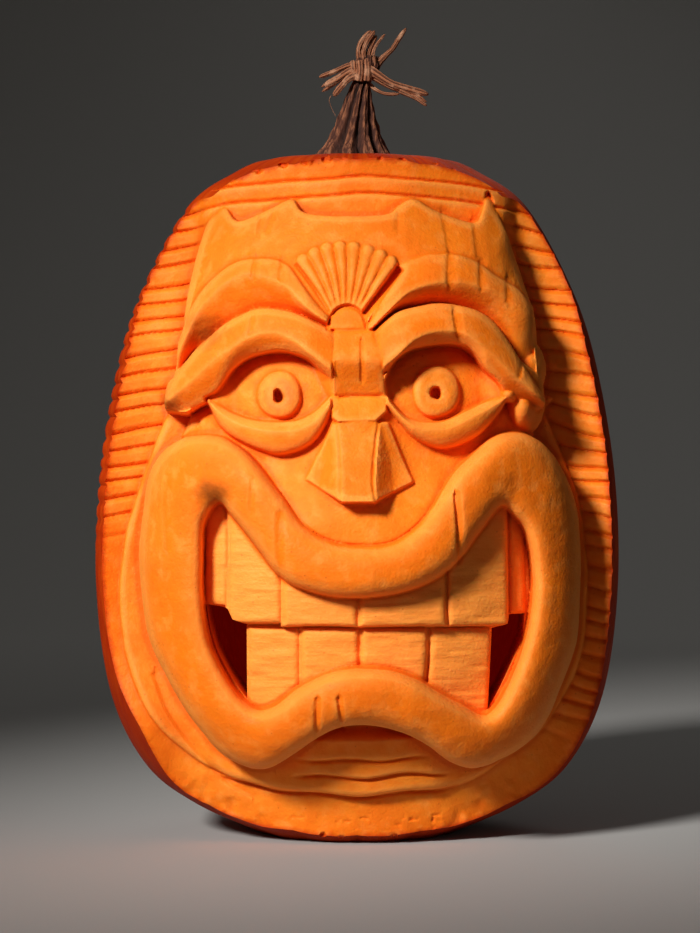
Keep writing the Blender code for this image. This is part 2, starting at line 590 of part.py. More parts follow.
def build_pumpkin():
    flesh = material("pumpkin flesh, carved", (0.95, 0.27, 0.035), 0.5)
    pumpkin = add_object("pumpkin", *turned(blank_profile(), BLANK_SIDES, BLANK_FLATNESS, LOBES,
                                            LOBE_DEPTH), flesh)
    carving = add_cutter("carving", *carving_solid())
    thin = carving.modifiers.new("thin out", "DECIMATE")
    thin.ratio = RELIEF_FACES / (2 * len(carving.data.polygons))
    inside_cut = add_cutter("hollow", *hollow())
    combine(pumpkin, carving, "DIFFERENCE")
    combine(pumpkin, inside_cut, "DIFFERENCE")
    for name, outline in (("corner_left", CORNER_LEFT), ("corner_right", CORNER_RIGHT)):
        combine(pumpkin, add_cutter(name, *prism(outline, 0, CARVING_FRONT)), "DIFFERENCE")
    return pumpkin


def build_stem():
    dried = material("dried pumpkin stem", (0.42, 0.24, 0.13), 0.85)
    stem = add_object("stem", *stem_core(), dried)
    for number, (route, start, end) in enumerate(FIBRES):
        combine(stem, add_cutter("fibre_%d" % number, *fibre(route, start, end)), "UNION")
    return stem


for old in list(bpy.data.objects):
    bpy.data.objects.remove(old)
build_pumpkin()
build_stem()
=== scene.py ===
"""Looks of the carved pumpkin lantern: the fruit carved finely, its dried stem, light and floor.

The fruit's relief is the one that its solid has, on a finer grid, with the maker's knife nicks and
unevenness added. The carved fruit is then parted along its own edges into carved flesh, rind and
the scraped wall of the hollow, so that each has its own finish.
"""
import math

import bpy
import numpy as np
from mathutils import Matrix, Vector


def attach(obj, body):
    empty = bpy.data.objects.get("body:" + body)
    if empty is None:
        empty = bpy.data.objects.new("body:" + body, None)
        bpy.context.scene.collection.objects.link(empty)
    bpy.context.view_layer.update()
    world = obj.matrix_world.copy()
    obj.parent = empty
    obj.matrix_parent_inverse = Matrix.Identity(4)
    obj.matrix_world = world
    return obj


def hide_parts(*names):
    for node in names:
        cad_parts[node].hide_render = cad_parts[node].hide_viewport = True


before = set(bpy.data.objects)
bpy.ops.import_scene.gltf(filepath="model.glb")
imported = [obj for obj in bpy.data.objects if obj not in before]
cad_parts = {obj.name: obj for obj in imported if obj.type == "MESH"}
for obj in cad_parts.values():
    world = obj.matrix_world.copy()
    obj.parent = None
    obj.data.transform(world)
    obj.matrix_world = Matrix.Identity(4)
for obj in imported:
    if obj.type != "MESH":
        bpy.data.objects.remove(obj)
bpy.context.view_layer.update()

MM = 0.001

# ---- driving dimensions, mm ---------------------------------------------------------------------
BLANK_PROFILE = [(60, 0), (101, 19), (131, 43), (152, 86), (161, 150), (159, 220), (147, 290),
                 (131, 337), (105, 383), (78, 403), (57, 411), (34, 404)]   # radius, height
BLANK_FLATNESS = 0.93            # front-to-back size over width
LOBES = 12                       # ribs of the fruit
LOBE_DEPTH = 2.5
DIMPLE_FLOOR = 400.0             # height of the flat floor round the stem
DIMPLE_RADIUS = 32.0
BORDER_SIDE = 42.0               # height of the cut-back border at the sides
BORDER_MIDDLE = 66.0             # and at the middle of the top and the bottom
CHIN_RISE = 13.0                 # how far the chin swells out towards the lower lip
FLUTE_PITCH = 10.4
FLUTE_DEPTH = 2.9
FLUTE_START = 88                 # how far from the middle the flutes start
FLUTE_FOOT_LEFT = 165            # how low they run down at the left
FLUTE_FOOT_RIGHT = 50            # and at the right
FLUTE_TOP = 388
TOP_BANDS = [(395, 4.5), (384.5, 4.0)]   # height, rise
COLLAR_RISE = 6                  # of the collar round the lips over the border
BLOCK_DEPTH = 12.0               # how far each form lies below the dome
EYEBALL_DEPTH = 32.0
IRIS_DEPTH = 21.5
PUPIL_DEPTH = 33.0
LID_DEPTH = 17.0
FAN_DEPTH = 11.5
CAP_DEPTH = 12.0
LIP_DEPTH = 5.0
INNER_DROP = 6.0                 # how far the brows sink towards the bridge
OUTER_DROP = 7.0                 # and towards their outer ends
PUPIL = 2.8                      # radius
LIP_RISE = 20.0                  # roll of the lips over their foot
LIP_FULLNESS = 2.7               # 2 is a half round, more is fuller
HOLLOW_HALF_WIDTH = 120.0
HOLLOW_FRONT = 55.0
HOLLOW_BACK = 116.0
HOLLOW_FLOOR = 34.0
HOLLOW_TOP = 368.0
HOLLOW_SQUARENESS = 2.6          # 2 is an egg, more is squarer
HOLLOW_ENDS = 0.97               # share of the half height at which its flat ends are
STEM_RIBS = 10
STEM_GAP = 0.3
KNOT_FOOT = 462                  # height at which the stalk's knot starts
RELIEF_STEP = 0.6                # spacing of the relief grid
RELIEF_LEFT, RELIEF_RIGHT = -168, 168.1
RELIEF_FOOT, RELIEF_TOP = -8, 421
WALL = 1.1                       # width over which an upright wall of the relief falls
CARVING_FRONT = 200.0            # how far the carving solid reaches in front of the axis
STEM_PROFILE = [(27, DIMPLE_FLOOR + STEM_GAP, -2), (26, 408, -2), (23, 417, -2), (17.5, 425, -1),
                (12, 439, 0), (8.3, 452, 1), (5.8, 462, 3), (8, 467, 5), (8.6, 471, 6),
                (6.5, 477, 6.5)]     # radius, height, lean

RIND_FACES, FLESH_FACES, WALL_FACES = range(3)   # marks on the faces of the carved fruit

# ---- how finely each thing is made --------------------------------------------------------------
BLANK_SIDES = 360
BLANK_RINGS = 28                 # between two points of its profile
HOLLOW_SIDES = 96
HOLLOW_RINGS = 41
STALK_SIDES = 120
STRAND_SIDES = 18
KEPT_SHARE = 0.28                # of the triangles of the finely carved fruit
SHARP_FROM = 55                  # degrees: a sharper edge than this stays crisp

# ---- traces of the hand and of drying, mm -------------------------------------------------------
RUN_ON_DEPTH = 1.8               # nicks of the gouge in the rind at the left
CUT_STRAY = 1.1                  # how far the cuts wander from their lines
HAND_SHAKE = 0.1
FACETS = [(0.6, 24, 1), (0.15, 9, 2), (0.1, 3.2, 3)]   # height, size, seed
FACET_DIP = 0.5                  # of the hollow facets, about 20 mm across
TOOTH_STRINGS = 0.35             # height of the level strings on the teeth
TOOTH_WAVES = 0.4
FOLD_REACH = 2.5                 # over which the fold of the bridge is worn soft
CREASE_REACH = 2.5               # how wide round a point the flesh is looked at for creases
RECESS_REACH = 9.0               # and for recesses

# ---- colours ------------------------------------------------------------------------------------
FLESH_OUTER = "#f4760e"
FLESH_LIGHT = "#fb8c22"
FLESH_MID = "#f2700e"
FLESH_DEEP = "#da5606"
FLESH_PALE = "#fe9e44"
UNDER_RIND = "#c43202"
PORE = "#a03808"
BROWN_AND_SHADE = "#86400f"
FLOOR_PAINT = "#aeaba6"
RIND = "#b42c04"
RIND_LIGHT = "#cc4a0a"
RIND_DEEP = "#841c04"
RIND_FLECK = "#b85828"
PULP = "#d9691a"
PULP_STRING = "#efa050"
GLOW = "#ff1c00"
STALK = "#522a1a"
STALK_TAN = "#a06240"
STALK_GROOVE = "#1a0b06"
FIBRE_TAN = "#b8724c"
FIBRE_BROWN = "#4c2412"
FIBRE_PALE = "#e8ac84"
SKY = "#e6e4e0"

# ---- floor, mm ----------------------------------------------------------------------------------
FLOOR_FRONT = -4000
FLOOR_HALF_WIDTH = 5000
SWEEP_START = 1800               # where the floor starts to rise into the wall
SWEEP_RADIUS = 1200
SWEEP_RINGS = 24
WALL_TOP = 5000

# ---- light and camera, m ------------------------------------------------------------------------
KEY_PLACE = (-1.3, -2.0, 1.5)
KEY_AIM = (0, -0.05, 0.185)
KEY_POWER = 455
KEY_CONE = 16.5                  # degrees
KEY_EDGE = 0.4                   # share of the cone over which the light fades out
KEY_SIZE = 0.28
SOFT_LAMPS = [("fill", (1.8, -2.2, 0.9), 0.8), ("back", (0.5, 2.5, 2.0), 5)]   # place, watts
SOFT_LAMP_AIM = (0, 0, 0.25)
SOFT_LAMP_SIZE = 1.4
SKY_STRENGTH = 0.06
CAMERA_PLACE = (-0.0043, -1.6, 0.224)
CAMERA_SIGHT = 30
CAMERA_LENS = 100                # mm
CAMERA_WIDTH = 36                # mm, of its sensor

# ---- the torn fibres, mm ------------------------------------------------------------------------
FIBRE_BUNCHES = {                # strands: route, half width, half thickness, share left at the tip
    "fibres_left": [
        ([(6, -3, 470), (-4, -4, 471), (-14, -5, 467), (-23.5, -5, 463.5)], 2.4, 1.6, 0.45),
        ([(5, -5, 467), (-4, -6, 467), (-12, -7, 462), (-20, -7, 458)], 3.0, 1.6, 0.6),
        ([(4, -5, 465), (-4, -8, 463), (-10, -8, 457), (-14.5, -8, 451.5)], 3.2, 1.5, 0.5),
        ([(4, -2, 466), (-6, -2, 465), (-14, -2, 460), (-21.5, -3, 455)], 2.2, 1.4, 0.4),
        ([(4, 1, 469), (-6, 1, 468), (-15, 0, 463), (-22, -1, 458)], 1.8, 1.4, 0.4)],
    "fibres_up": [
        ([(5, -3, 468), (1, -3, 477), (2.2, -2, 485), (8.6, -1, 493)], 1.9, 1.6, 0.8),
        ([(7, -5, 467), (4, -5, 477), (6, -4, 485), (11, -3, 492.5)], 2.1, 1.5, 0.75),
        ([(8, -3, 467), (7, -3, 477), (9, -2, 484), (12, -1, 490)], 2.1, 1.5, 0.6),
        ([(7, 0, 468), (4, 1, 478), (5, 1, 486), (9.5, 1, 491.5)], 2.2, 1.6, 0.7),
        ([(9, -2, 474), (10.5, -2, 481), (13.5, -2, 486), (17.3, -2, 490.6)], 1.5, 1.1, 0.5)],
    "fibre_right_up": [
        ([(9, -1, 466), (13.5, -1, 473), (18.5, 0, 478.5), (22, 1, 482), (26, 2, 488.5),
          (30.5, 2, 495)], 2.3, 1.6, 0.5),
        ([(9, -5, 466), (10.5, -6, 471), (10.3, -6, 476.5)], 2.2, 1.0, 0.35)],
    "fibres_right": [
        ([(3, -6, 470), (10, -7, 466.5), (20, -7, 460), (30, -6, 456.5), (44, -5, 453)],
         3.0, 1.5, 0.7),
        ([(6, -4, 467), (13, -5, 462), (22, -5, 457), (34, -5, 453.5), (42.8, -5, 448.3)],
         2.4, 1.4, 0.45),
        ([(26, -6, 455), (36, -5, 450.5), (43, -5, 446)], 1.5, 1.0, 0.6),
        ([(6, -2, 461), (12, -3, 456), (18, -4, 453.5), (26, -5, 453.2)], 1.5, 1.2, 0.6)],
    "knot": [
        ([(-3.5, -5, 463), (-2, -6, 468), (-2.5, -5, 474)], 2.6, 1.8, 0.8),
        ([(1, -7, 461), (2, -8, 467), (1.5, -6, 474)], 2.8, 2.0, 0.8),
        ([(6, -7, 461), (6.5, -8, 467), (6, -6, 475)], 3.0, 2.0, 0.7),
        ([(10, -4, 462), (10.5, -5, 467), (10, -4, 472)], 2.6, 2.0, 0.7),
        ([(3, 4, 461), (3, 5, 468), (4, 3, 475)], 5.0, 3.0, 0.7)],
    "hair": [
        ([(-16, -6, 452), (-17, -6, 449), (-15.5, -6, 444), (-12.7, -6, 439)], 0.22, 0.22, 0.6)],
}

# ---- outlines of the mask, mm (x, z) ------------------------------------------------------------
BLOCK = [(-104, 298), (-103, 315), (-99, 338), (-94, 357), (-89, 370), (-79, 378), (-71, 369),
         (-55, 375), (-39, 382), (-32, 374), (-16, 371), (16, 371), (25, 377), (34, 381), (47, 374),
         (68, 368), (74, 376), (78, 389), (84, 376), (92, 359), (99, 335), (106, 312), (107, 290),
         (110, 268), (104, 256), (60, 256), (0, 256), (-60, 256), (-104, 256), (-112, 264),
         (-108, 280)]
FOLD_LEFT = [(-99, 288), (-88, 299), (-78, 307), (-67, 312), (-56, 315), (-44, 314), (-33, 311),
             (-21, 306)]         # between the upper and the main brow
FOLD_RIGHT = [(16, 308), (24, 313), (36, 316), (47, 318), (59, 317), (70, 314), (79, 308), (87, 298),
              (94, 287)]
UPPER_BROW_LEFT = dict(
    depth=5, top_drop=6, low_drop=19,
    top=[(-107, 296), (-100, 314), (-92, 327), (-79, 338), (-70, 343), (-59, 345), (-47, 344),
         (-39, 339), (-31, 327), (-23, 317), (-9, 305)],
    crest=[(-107, 288), (-100, 303), (-92, 317), (-78, 329), (-65, 335), (-53, 333), (-41, 327),
           (-31, 316), (-9, 302)],
    low=[(-107, 268), *FOLD_LEFT, (-9, 299)])
UPPER_BROW_RIGHT = dict(
    depth=5, top_drop=6, low_drop=19,
    top=[(3, 300), (16, 324), (24, 339), (36, 345), (47, 347), (59, 347), (71, 343), (82, 336),
         (94, 329), (104, 318)],
    crest=[(3, 298), (24, 319), (36, 327), (53, 331), (73, 329), (88, 322), (104, 310)],
    low=[(3, 296), *FOLD_RIGHT, (104, 280)])
BROW_LEFT = dict(
    depth=3, top_drop=8, low_drop=16,
    top=[(-114, 267), (-108, 277), *FOLD_LEFT, (-7, 299)],
    crest=[(-114, 261), (-94, 276), (-82, 286), (-70, 294), (-59, 299), (-47, 300), (-37, 296),
           (-27, 288), (-7, 272)],
    low=[(-114, 257), (-100, 257), (-85, 262), (-78, 268), (-70, 279), (-62, 285), (-53, 287),
         (-44, 287), (-33, 285), (-24, 279), (-7, 262)])
BROW_RIGHT = dict(
    depth=3, top_drop=8, low_drop=16,
    top=[(4, 297), *FOLD_RIGHT, (102, 275), (110, 264)],
    crest=[(4, 272), (21, 285), (31, 295), (42, 300), (56, 301), (67, 296), (78, 288), (88, 278),
           (110, 261)],
    low=[(4, 264), (20, 280), (30, 287), (38, 290), (50, 291), (62, 289), (70, 280), (75, 271),
         (85, 266), (110, 258)])
EYE_LEFT = dict(
    centre=(-44.5, 265), iris=13.0,
    socket=[(-88, 263), (-80, 268), (-71, 280), (-61, 287), (-45, 290), (-32, 287), (-23, 280),
            (-13, 267), (-23, 250), (-42, 243), (-62, 244), (-78, 254)],
    lid_top=[(-86, 264), (-74, 256), (-62, 251), (-50, 249), (-36, 250), (-24, 256), (-11, 268)],
    lid_low=[(-86, 260), (-78, 246), (-68, 238), (-55, 233), (-43, 231), (-31, 234), (-22, 242),
             (-11, 262)])
EYE_RIGHT = dict(
    centre=(46, 267), iris=13.8,
    socket=[(15, 264), (19, 280), (30, 290), (51, 294), (64, 291), (73, 280), (84, 267), (74, 255),
            (57, 246), (39, 246), (25, 253)],
    lid_top=[(13, 268), (26, 255), (36, 251), (50, 250), (62, 255), (74, 261), (88, 266)],
    lid_low=[(13, 262), (26, 248), (35, 240), (48, 234), (60, 236), (72, 243), (82, 254),
             (88, 263)])
MUZZLE = [(-104, 243), (-98, 256), (-88, 264), (0, 270), (90, 266), (102, 256), (106, 243),
          (60, 170), (0, 150), (-60, 170)]
LIPS_OUTER = [(-103, 241), (-91, 243), (-78, 241), (-66, 234), (-55, 224), (-41, 206), (-30, 191),
              (-16, 182), (1, 180), (16, 181), (27, 186), (40, 198), (54, 219), (65, 230), (77, 240),
              (88, 244), (100, 243), (112, 236), (123, 220), (131, 198), (134, 172), (133, 145),
              (130, 119), (122, 94), (112, 72), (98, 58), (83, 51), (68, 48), (53, 53), (39, 63),
              (24, 71), (7, 75), (-10, 74), (-24, 67), (-39, 56), (-53, 48), (-68, 49), (-83, 57),
              (-98, 77), (-111, 98), (-122, 119), (-128, 145), (-129, 172), (-126, 198), (-123, 219),
              (-115, 233)]
LIPS_INNER = [(-80, 203), (-71, 194), (-57, 176), (-44, 161), (-30, 153), (-13, 149), (7, 149),
              (27, 152), (44, 159), (58, 170), (71, 187), (83, 201), (91, 196), (98, 186),
              (102, 163), (101, 143), (96, 120), (87, 97), (75, 81), (60, 87), (47, 95), (33, 104),
              (16, 109), (-4, 109), (-21, 104), (-35, 97), (-47, 88), (-57, 85), (-66, 90),
              (-75, 101), (-84, 120), (-89, 146), (-90, 172), (-89, 190)]
COLLAR = [(-98, 272), (-112, 259), (-121, 240), (-131, 208), (-139, 180), (-142, 150), (-140, 120),
          (-133, 95), (-120, 72), (-95, 48), (-60, 36), (0, 30), (60, 36), (92, 52), (111, 66),
          (128, 92), (135, 115), (139, 157), (137, 180), (133, 204), (127, 222), (120, 240),
          (112, 257), (98, 270)]
CORNER_LEFT = [(-88, 144), (-75, 142), (-72, 136), (-64, 133), (-64, 89), (-68, 94), (-75, 104),
               (-82, 118), (-86, 132)]
CORNER_RIGHT = [(88, 138), (98, 138), (97, 123), (89, 106), (83, 94), (76, 82), (78, 130),
                (87, 133)]
BRIDGE = [(-13, 303), (-14, 284), (-15, 263), (17, 263), (14, 284), (10, 303)]
NOSE_BAR = [(-15, 263), (-15, 252), (-12, 249), (11, 249), (17, 255), (17, 263)]
NOSE_WEDGE = [(-15, 249), (-29, 216), (-9, 203), (10, 203), (33, 216), (18, 249)]
FAN_CENTRE = (-6.6, 300.0)
FAN_RIBS = 8
FAN_START, FAN_SPREAD = -35, 72  # degrees, from straight up towards the right
FAN_INNER, FAN_OUTER = 14, 50    # from its centre
CAP_CENTRE = (-5.5, 303)
CAP_RADIUS = 12.4
CAP_RECESS = 14
UPPER_TEETH = [                  # left, right, bottom, depth
    (-90, -75, 144, 31), (-75, -43, 134, 25), (-43, 1, 132, 23), (1, 51, 132, 23),
    (51, 88, 132, 25), (88, 99, 139, 33)]
LOWER_TEETH = [(-64, -33, 32), (-33, 2, 30), (2, 40, 30), (40, 78, 32)]   # left, right, depth
BITE_LINE = 132.0
BITE_GAP = 0.6                   # between the two rows
TOOTH_GAP = 1.2
TOOTH_ROOT = 4                   # how far the teeth run on under the lips
TOOTH_EDGE_DROP = 3.5            # rounding of their edges
TOOTH_EDGE_WIDTH = 4
GUM_DEPTH = 36.0
GAP_DEPTH = 3.0
CHIN_STEPS = [                   # height, rise, bow, middle, half width
    (30, 3.5, 0.0013, -13, 72), (42, 3.5, 0.0006, 8, 50), (52.5, 2.5, 0.0003, 2, 42)]


# ---- plane geometry -----------------------------------------------------------------------------
def smooth_line(points, closed=False, per_span=5):
    """A rounded line through a few points (Catmull-Rom)."""
    p = np.array(points, float)
    if closed:
        p = np.vstack([p[-1], p, p[0], p[1]])
    else:
        p = np.vstack([2 * p[0] - p[1], p, 2 * p[-1] - p[-2]])
    t = np.arange(per_span)[:, None] / per_span
    spans = [0.5 * (2 * b + (c - a) * t + (2 * a - 5 * b + 4 * c - d) * t ** 2
                    + (3 * b - a - 3 * c + d) * t ** 3)
             for a, b, c, d in zip(p[:-3], p[1:-2], p[2:-1], p[3:])]
    line = np.vstack(spans)
    return line if closed else np.vstack([line, p[-2]])


def over_x(points, x):
    """The height of a rounded line above each x."""
    line = smooth_line(points)
    order = np.argsort(line[:, 0])
    return np.interp(x, line[order, 0], line[order, 1])


def distance(line, x, z, closed=False):
    """The distance from each point to a line."""
    ends = np.roll(line, -1, axis=0) if closed else line[1:]
    best = np.full(x.shape, np.inf)
    for (ax, az), (bx, bz) in zip(line, ends):
        dx, dz = bx - ax, bz - az
        t = np.clip(((x - ax) * dx + (z - az) * dz) / (dx * dx + dz * dz + 1e-12), 0, 1)
        best = np.minimum(best, (x - ax - t * dx) ** 2 + (z - az - t * dz) ** 2)
    return np.sqrt(best)


def inside(outline, x, z):
    """Which points lie inside a closed outline."""
    hit = np.zeros(x.shape, bool)
    for (ax, az), (bx, bz) in zip(outline, np.roll(outline, -1, axis=0)):
        if az != bz:
            crosses = (az > z) != (bz > z)
            hit ^= crosses & (x < ax + (z - az) * (bx - ax) / (bz - az))
    return hit


def edge_distance(outline, x, z):
    """The distance to a closed outline, positive inside it."""
    return np.where(inside(outline, x, z), 1, -1) * distance(outline, x, z, True)


def ease(t):
    """0 to 1 with soft ends."""
    t = np.clip(t, 0, 1)
    return t * t * (3 - 2 * t)


def quarter_round(t):
    """0 to 1 along a quarter circle that starts upright and ends level."""
    return np.sqrt(1 - (1 - np.clip(t, 0, 1)) ** 2)


# ---- the blank ----------------------------------------------------------------------------------
def blank_radius(z):
    """The radius of the whole fruit at a height."""
    line = smooth_line(BLANK_PROFILE[:-1])
    return np.interp(z, line[:, 1], line[:, 0])


def dome(x, z):
    """The smooth dome under the skin that the mask follows."""
    radius = blank_radius(np.clip(z, 25, 400))
    return BLANK_FLATNESS * np.sqrt(np.maximum(radius ** 2 - x ** 2, 30.0 ** 2))


# ---- the relief: each step changes height, an array over the grid (x, z) -------------------------
def window(x, z, points, margin=1.0):
    """The block of the grid round some points, and x and z in it."""
    low, high = np.min(points, axis=0) - margin, np.max(points, axis=0) + margin
    rows, cols = (z[:, 0] >= low[1]) & (z[:, 0] <= high[1]), (x[0] >= low[0]) & (x[0] <= high[0])
    w = np.ix_(rows, cols)
    return w, x[w], z[w]


def blend(height, w, level, edge):
    """Bring a window of the relief to a level where edge > 0, with a wall where edge = 0."""
    height[w] += np.clip(0.5 + edge / WALL, 0, 1) * (level - height[w])


def stand(height, x, z, outline, level, rim, round_over):
    """Set the inside of an outline to a level, its rim rounded over."""
    w, gx, gz = window(x, z, outline, WALL)
    edge = edge_distance(outline, gx, gz)
    blend(height, w, level[w] - round_over * (1 - quarter_round(edge / rim)), edge)


def knife_cut(height, x, z, points, width, depth):
    """A V cut along a line."""
    line = smooth_line(points)
    w, gx, gz = window(x, z, line, width)
    height[w] -= depth * np.clip(1 - distance(line, gx, gz) / (width / 2), 0, 1)


def border_level(x, z):
    """The cut-back border: high in the middle, low at the shoulders, full at the lower left."""
    out = np.abs(x)
    crown = (1 + np.cos(math.pi * np.clip(out / 115, 0, 1))) / 2
    dish = np.clip((out - 115) / 37, 0, 2) ** 2
    shoulder = ease((z - 290) / 50) * ease((out - 75) / 30)
    full = np.exp(-((x + 128) / 26) ** 2 - ((z - 62) / 48) ** 2)
    chin = CHIN_RISE * np.clip((z - 3) / 62, 0, 1) * ease((128 - out) / 60) * ease((150 - z) / 60)
    return (BORDER_SIDE + (BORDER_MIDDLE - BORDER_SIDE) * crown
            + 7 * dish - 10 * shoulder + 18 * full * (1 - chin / 30) + chin)


def gouge(x, z):
    """The gouge cuts down both sides: how deep at each point, 0 to 1, and which cut it is."""
    turn = (z + 0.18 * (np.abs(x) - 120)) / FLUTE_PITCH
    turn = turn + 0.12 * np.sin(z / 17) + 0.1 * np.sin(z / 7.3 + 1)
    turn = turn + 0.16 * np.sin(z / 12.5) * np.sin(x / 9 + z / 23) * (x > 0)
    up = turn % 1                # 0 at the groove under each land
    return np.maximum(1 - up / 0.22, 0.9 * ease((up - 0.66) / 0.34)), np.floor(turn)


def cut_flutes(height, x, z):
    """Gouge cuts down both sides: flat lands, each with a sharp groove under its lower edge."""
    groove, which = gouge(x, z)
    left = ease((-x - FLUTE_START) / 6) * ease((z - FLUTE_FOOT_LEFT) / 40)
    right = ease((x - FLUTE_START) / 6) * ease((z - FLUTE_FOOT_RIGHT) / 30)
    strength = 0.8 + 0.3 * np.sin(3.1 * which)
    height -= FLUTE_DEPTH * strength * groove * (left + right) * ease((FLUTE_TOP - z) / 10)


def cut_top_bands(height, x, z):
    """Two chiselled steps above the forehead."""
    fade = ease((97 - np.abs(x)) / 10) * (z > 300)
    for level, rise in TOP_BANDS:
        above = level - 0.0007 * x ** 2 - z
        height += fade * (rise * ease(above / 0.8) - 1.8 * np.exp(-(above / 1.2) ** 2))


def cut_chin(height, x, z):
    """Three chiselled steps below the lower lip."""
    for level, rise, bow, middle, half in CHIN_STEPS:
        above = z - level - bow * x ** 2 - 0.8 * np.sin(x / 7 + level)
        fade = ease((half - np.abs(x - middle)) / 16) * ease((72 - z) / 8)
        height += fade * (rise * ease(above / 1.4) - 2.0 * np.exp(-(above / 1.3) ** 2))


def stand_block(height, x, z):
    """The forehead block, a crown with four points, well rounded over down its right side."""
    outline = smooth_line(BLOCK, True)
    w, gx, gz = window(x, z, outline, WALL)
    edge = edge_distance(outline, gx, gz)
    lumps = 1.2 * np.sin(gx / 14 + 1) * np.sin(gz / 11) + 0.8 * np.sin(gx / 23 + gz / 17)
    soft = 4 + 12 * ease((gx - 55) / 40) * ease((366 - gz) / 20)
    worn = 0.8 * soft * (1 - quarter_round(edge / soft))
    blend(height, w, dome(gx, gz) - BLOCK_DEPTH + lumps - worn, edge)


def lay_roll(height, x, z, top, crest, low, depth, top_drop, low_drop):
    """A roll between a top and a low line, highest along its crest."""
    w, gx, gz = window(x, z, top + low, WALL)
    high, down = over_x(top, gx), over_x(low, gx)
    middle = np.clip(over_x(crest, gx), down + 0.5, high - 0.5)
    below = np.clip((middle - gz) / (middle - down), 0, 1)
    drop = (top_drop * (1 - quarter_round((high - gz) / (high - middle)))
            + low_drop * below ** 1.35)
    ends = np.array([top[0][0], top[-1][0]])
    inner, outer = ends[np.argsort(np.abs(ends))]
    drop = drop + INNER_DROP * (1 - ease(np.abs(gx - inner) / 24))
    drop = drop + OUTER_DROP * (1 - quarter_round(np.abs(gx - outer) / 9))
    edge = np.minimum.reduce([gx - top[0][0], top[-1][0] - gx, high - gz, gz - down])
    blend(height, w, dome(gx, gz) - depth - drop, edge)


def swell(height, x, z, centre, half, depth, drop):
    """A soft mound that runs out into what lies round it."""
    w, gx, gz = window(x, z, [np.subtract(centre, half), np.add(centre, half)])
    out = ((gx - centre[0]) / half[0]) ** 2 + ((gz - centre[1]) / half[1]) ** 2
    mound = dome(gx, gz) - depth - drop * out
    height[w] = np.where(out < 1, np.maximum(height[w], mound), height[w])


def lay_muzzle(height, x, z):
    """The cheeks and upper lip, deepest under the eyes."""
    depth = 19 + (13 - 11 * np.exp(-((x - 1) / 24) ** 2)) * ease((z - 185) / 45)
    stand(height, x, z, np.array(MUZZLE, float), dome(x, z) - depth, rim=14, round_over=20)


def cut_eye(height, x, z, centre, iris, socket, lid_top, lid_low):
    """The eyeball, its disc and ragged pupil, and the lower lid."""
    cx, cz = centre
    bulge = 5 * np.clip(1 - ((x - cx) / 36) ** 2 - ((z - cz) / 26) ** 2, -1, 1)
    corners = 12 * ease((np.abs(x - cx) - 24) / 18)
    ball = dome(x, z) - EYEBALL_DEPTH + bulge + corners
    stand(height, x, z, smooth_line(socket, True), ball, rim=1, round_over=0)
    angle = np.linspace(0, 2 * math.pi, 40, endpoint=False)
    circle = np.stack([np.cos(angle), 1.08 * np.sin(angle)], axis=1)
    stand(height, x, z, circle * iris + centre, dome(x, z) - IRIS_DEPTH, rim=6, round_over=5)
    ragged = PUPIL * (1 + 0.1 * np.sin(2 * angle + cx / 20) + 0.06 * np.sin(3 * angle + cx / 11))
    hole = circle * ragged[:, None] * (1, 1.15) + (cx - 0.5, cz - 1)
    stand(height, x, z, hole, dome(x, z) - PUPIL_DEPTH, rim=1, round_over=0)
    lay_lid(height, x, z, lid_top, lid_low)


def lay_lid(height, x, z, lid_top, lid_low):
    """The thick lower lid: a narrow top that slopes in to the eye, and a rounded front."""
    w, gx, gz = window(x, z, lid_top + lid_low, WALL)
    high, low = over_x(lid_top, gx), over_x(lid_low, gx)
    across = np.clip((high - gz) / np.maximum(high - low, 0.3), 0, 1)
    front = np.clip((across - 0.3) / 0.7, 0, 1)
    drop = 5 * (1 - np.clip(across / 0.3, 0, 1)) + 12 * (1 - quarter_round(1 - front))
    edge = np.minimum.reduce([gx - lid_top[0][0], lid_top[-1][0] - gx, high - gz, gz - low])
    blend(height, w, dome(gx, gz) - LID_DEPTH - drop, edge)


def stand_nose(height, x, z):
    """The bridge, the bar below it and the wedge of the nose with its two side facets."""
    under = dome(x, z)
    fold = np.where(z > 284, 7 + (z - 284) * 0.3, 7 + (284 - z) * 0.78)
    stand(height, x, z, np.array(BRIDGE, float), under - fold, rim=3, round_over=2)
    bar = under - 16.5 - (z - 249) * 0.43
    stand(height, x, z, np.array(NOSE_BAR, float), bar, rim=1.5, round_over=1)
    fall = np.clip((249 - z) / 46, 0, 1)
    beside = np.maximum(-13 + 4 * fall - x, x - 12 + 2 * fall)
    front = 125 + 18 * fall - 1.2 * np.maximum(beside, 0)
    wedge = np.maximum(front, height + 3.5)
    stand(height, x, z, np.array(NOSE_WEDGE, float), wedge, rim=1, round_over=0)
    knife_cut(height, x, z, [(12, 249), (9.5, 230), (9, 215), (10.5, 204)], width=3, depth=1.8)
    knife_cut(height, x, z, [(-13, 249), (-10.5, 225), (-9.5, 206)], width=3, depth=1.3)


def slope_beside_bridge(height, x, z):
    """A facet from the left side of the bridge down to the inner corner of the eye."""
    w, gx, gz = window(x, z, [(-24, 263), (-13, 284)], 0)
    slope = dome(gx, gz) - 8 - 0.78 * (284 - gz) - 1.8 * (-14 - gx)
    height[w] = np.maximum(height[w], slope)


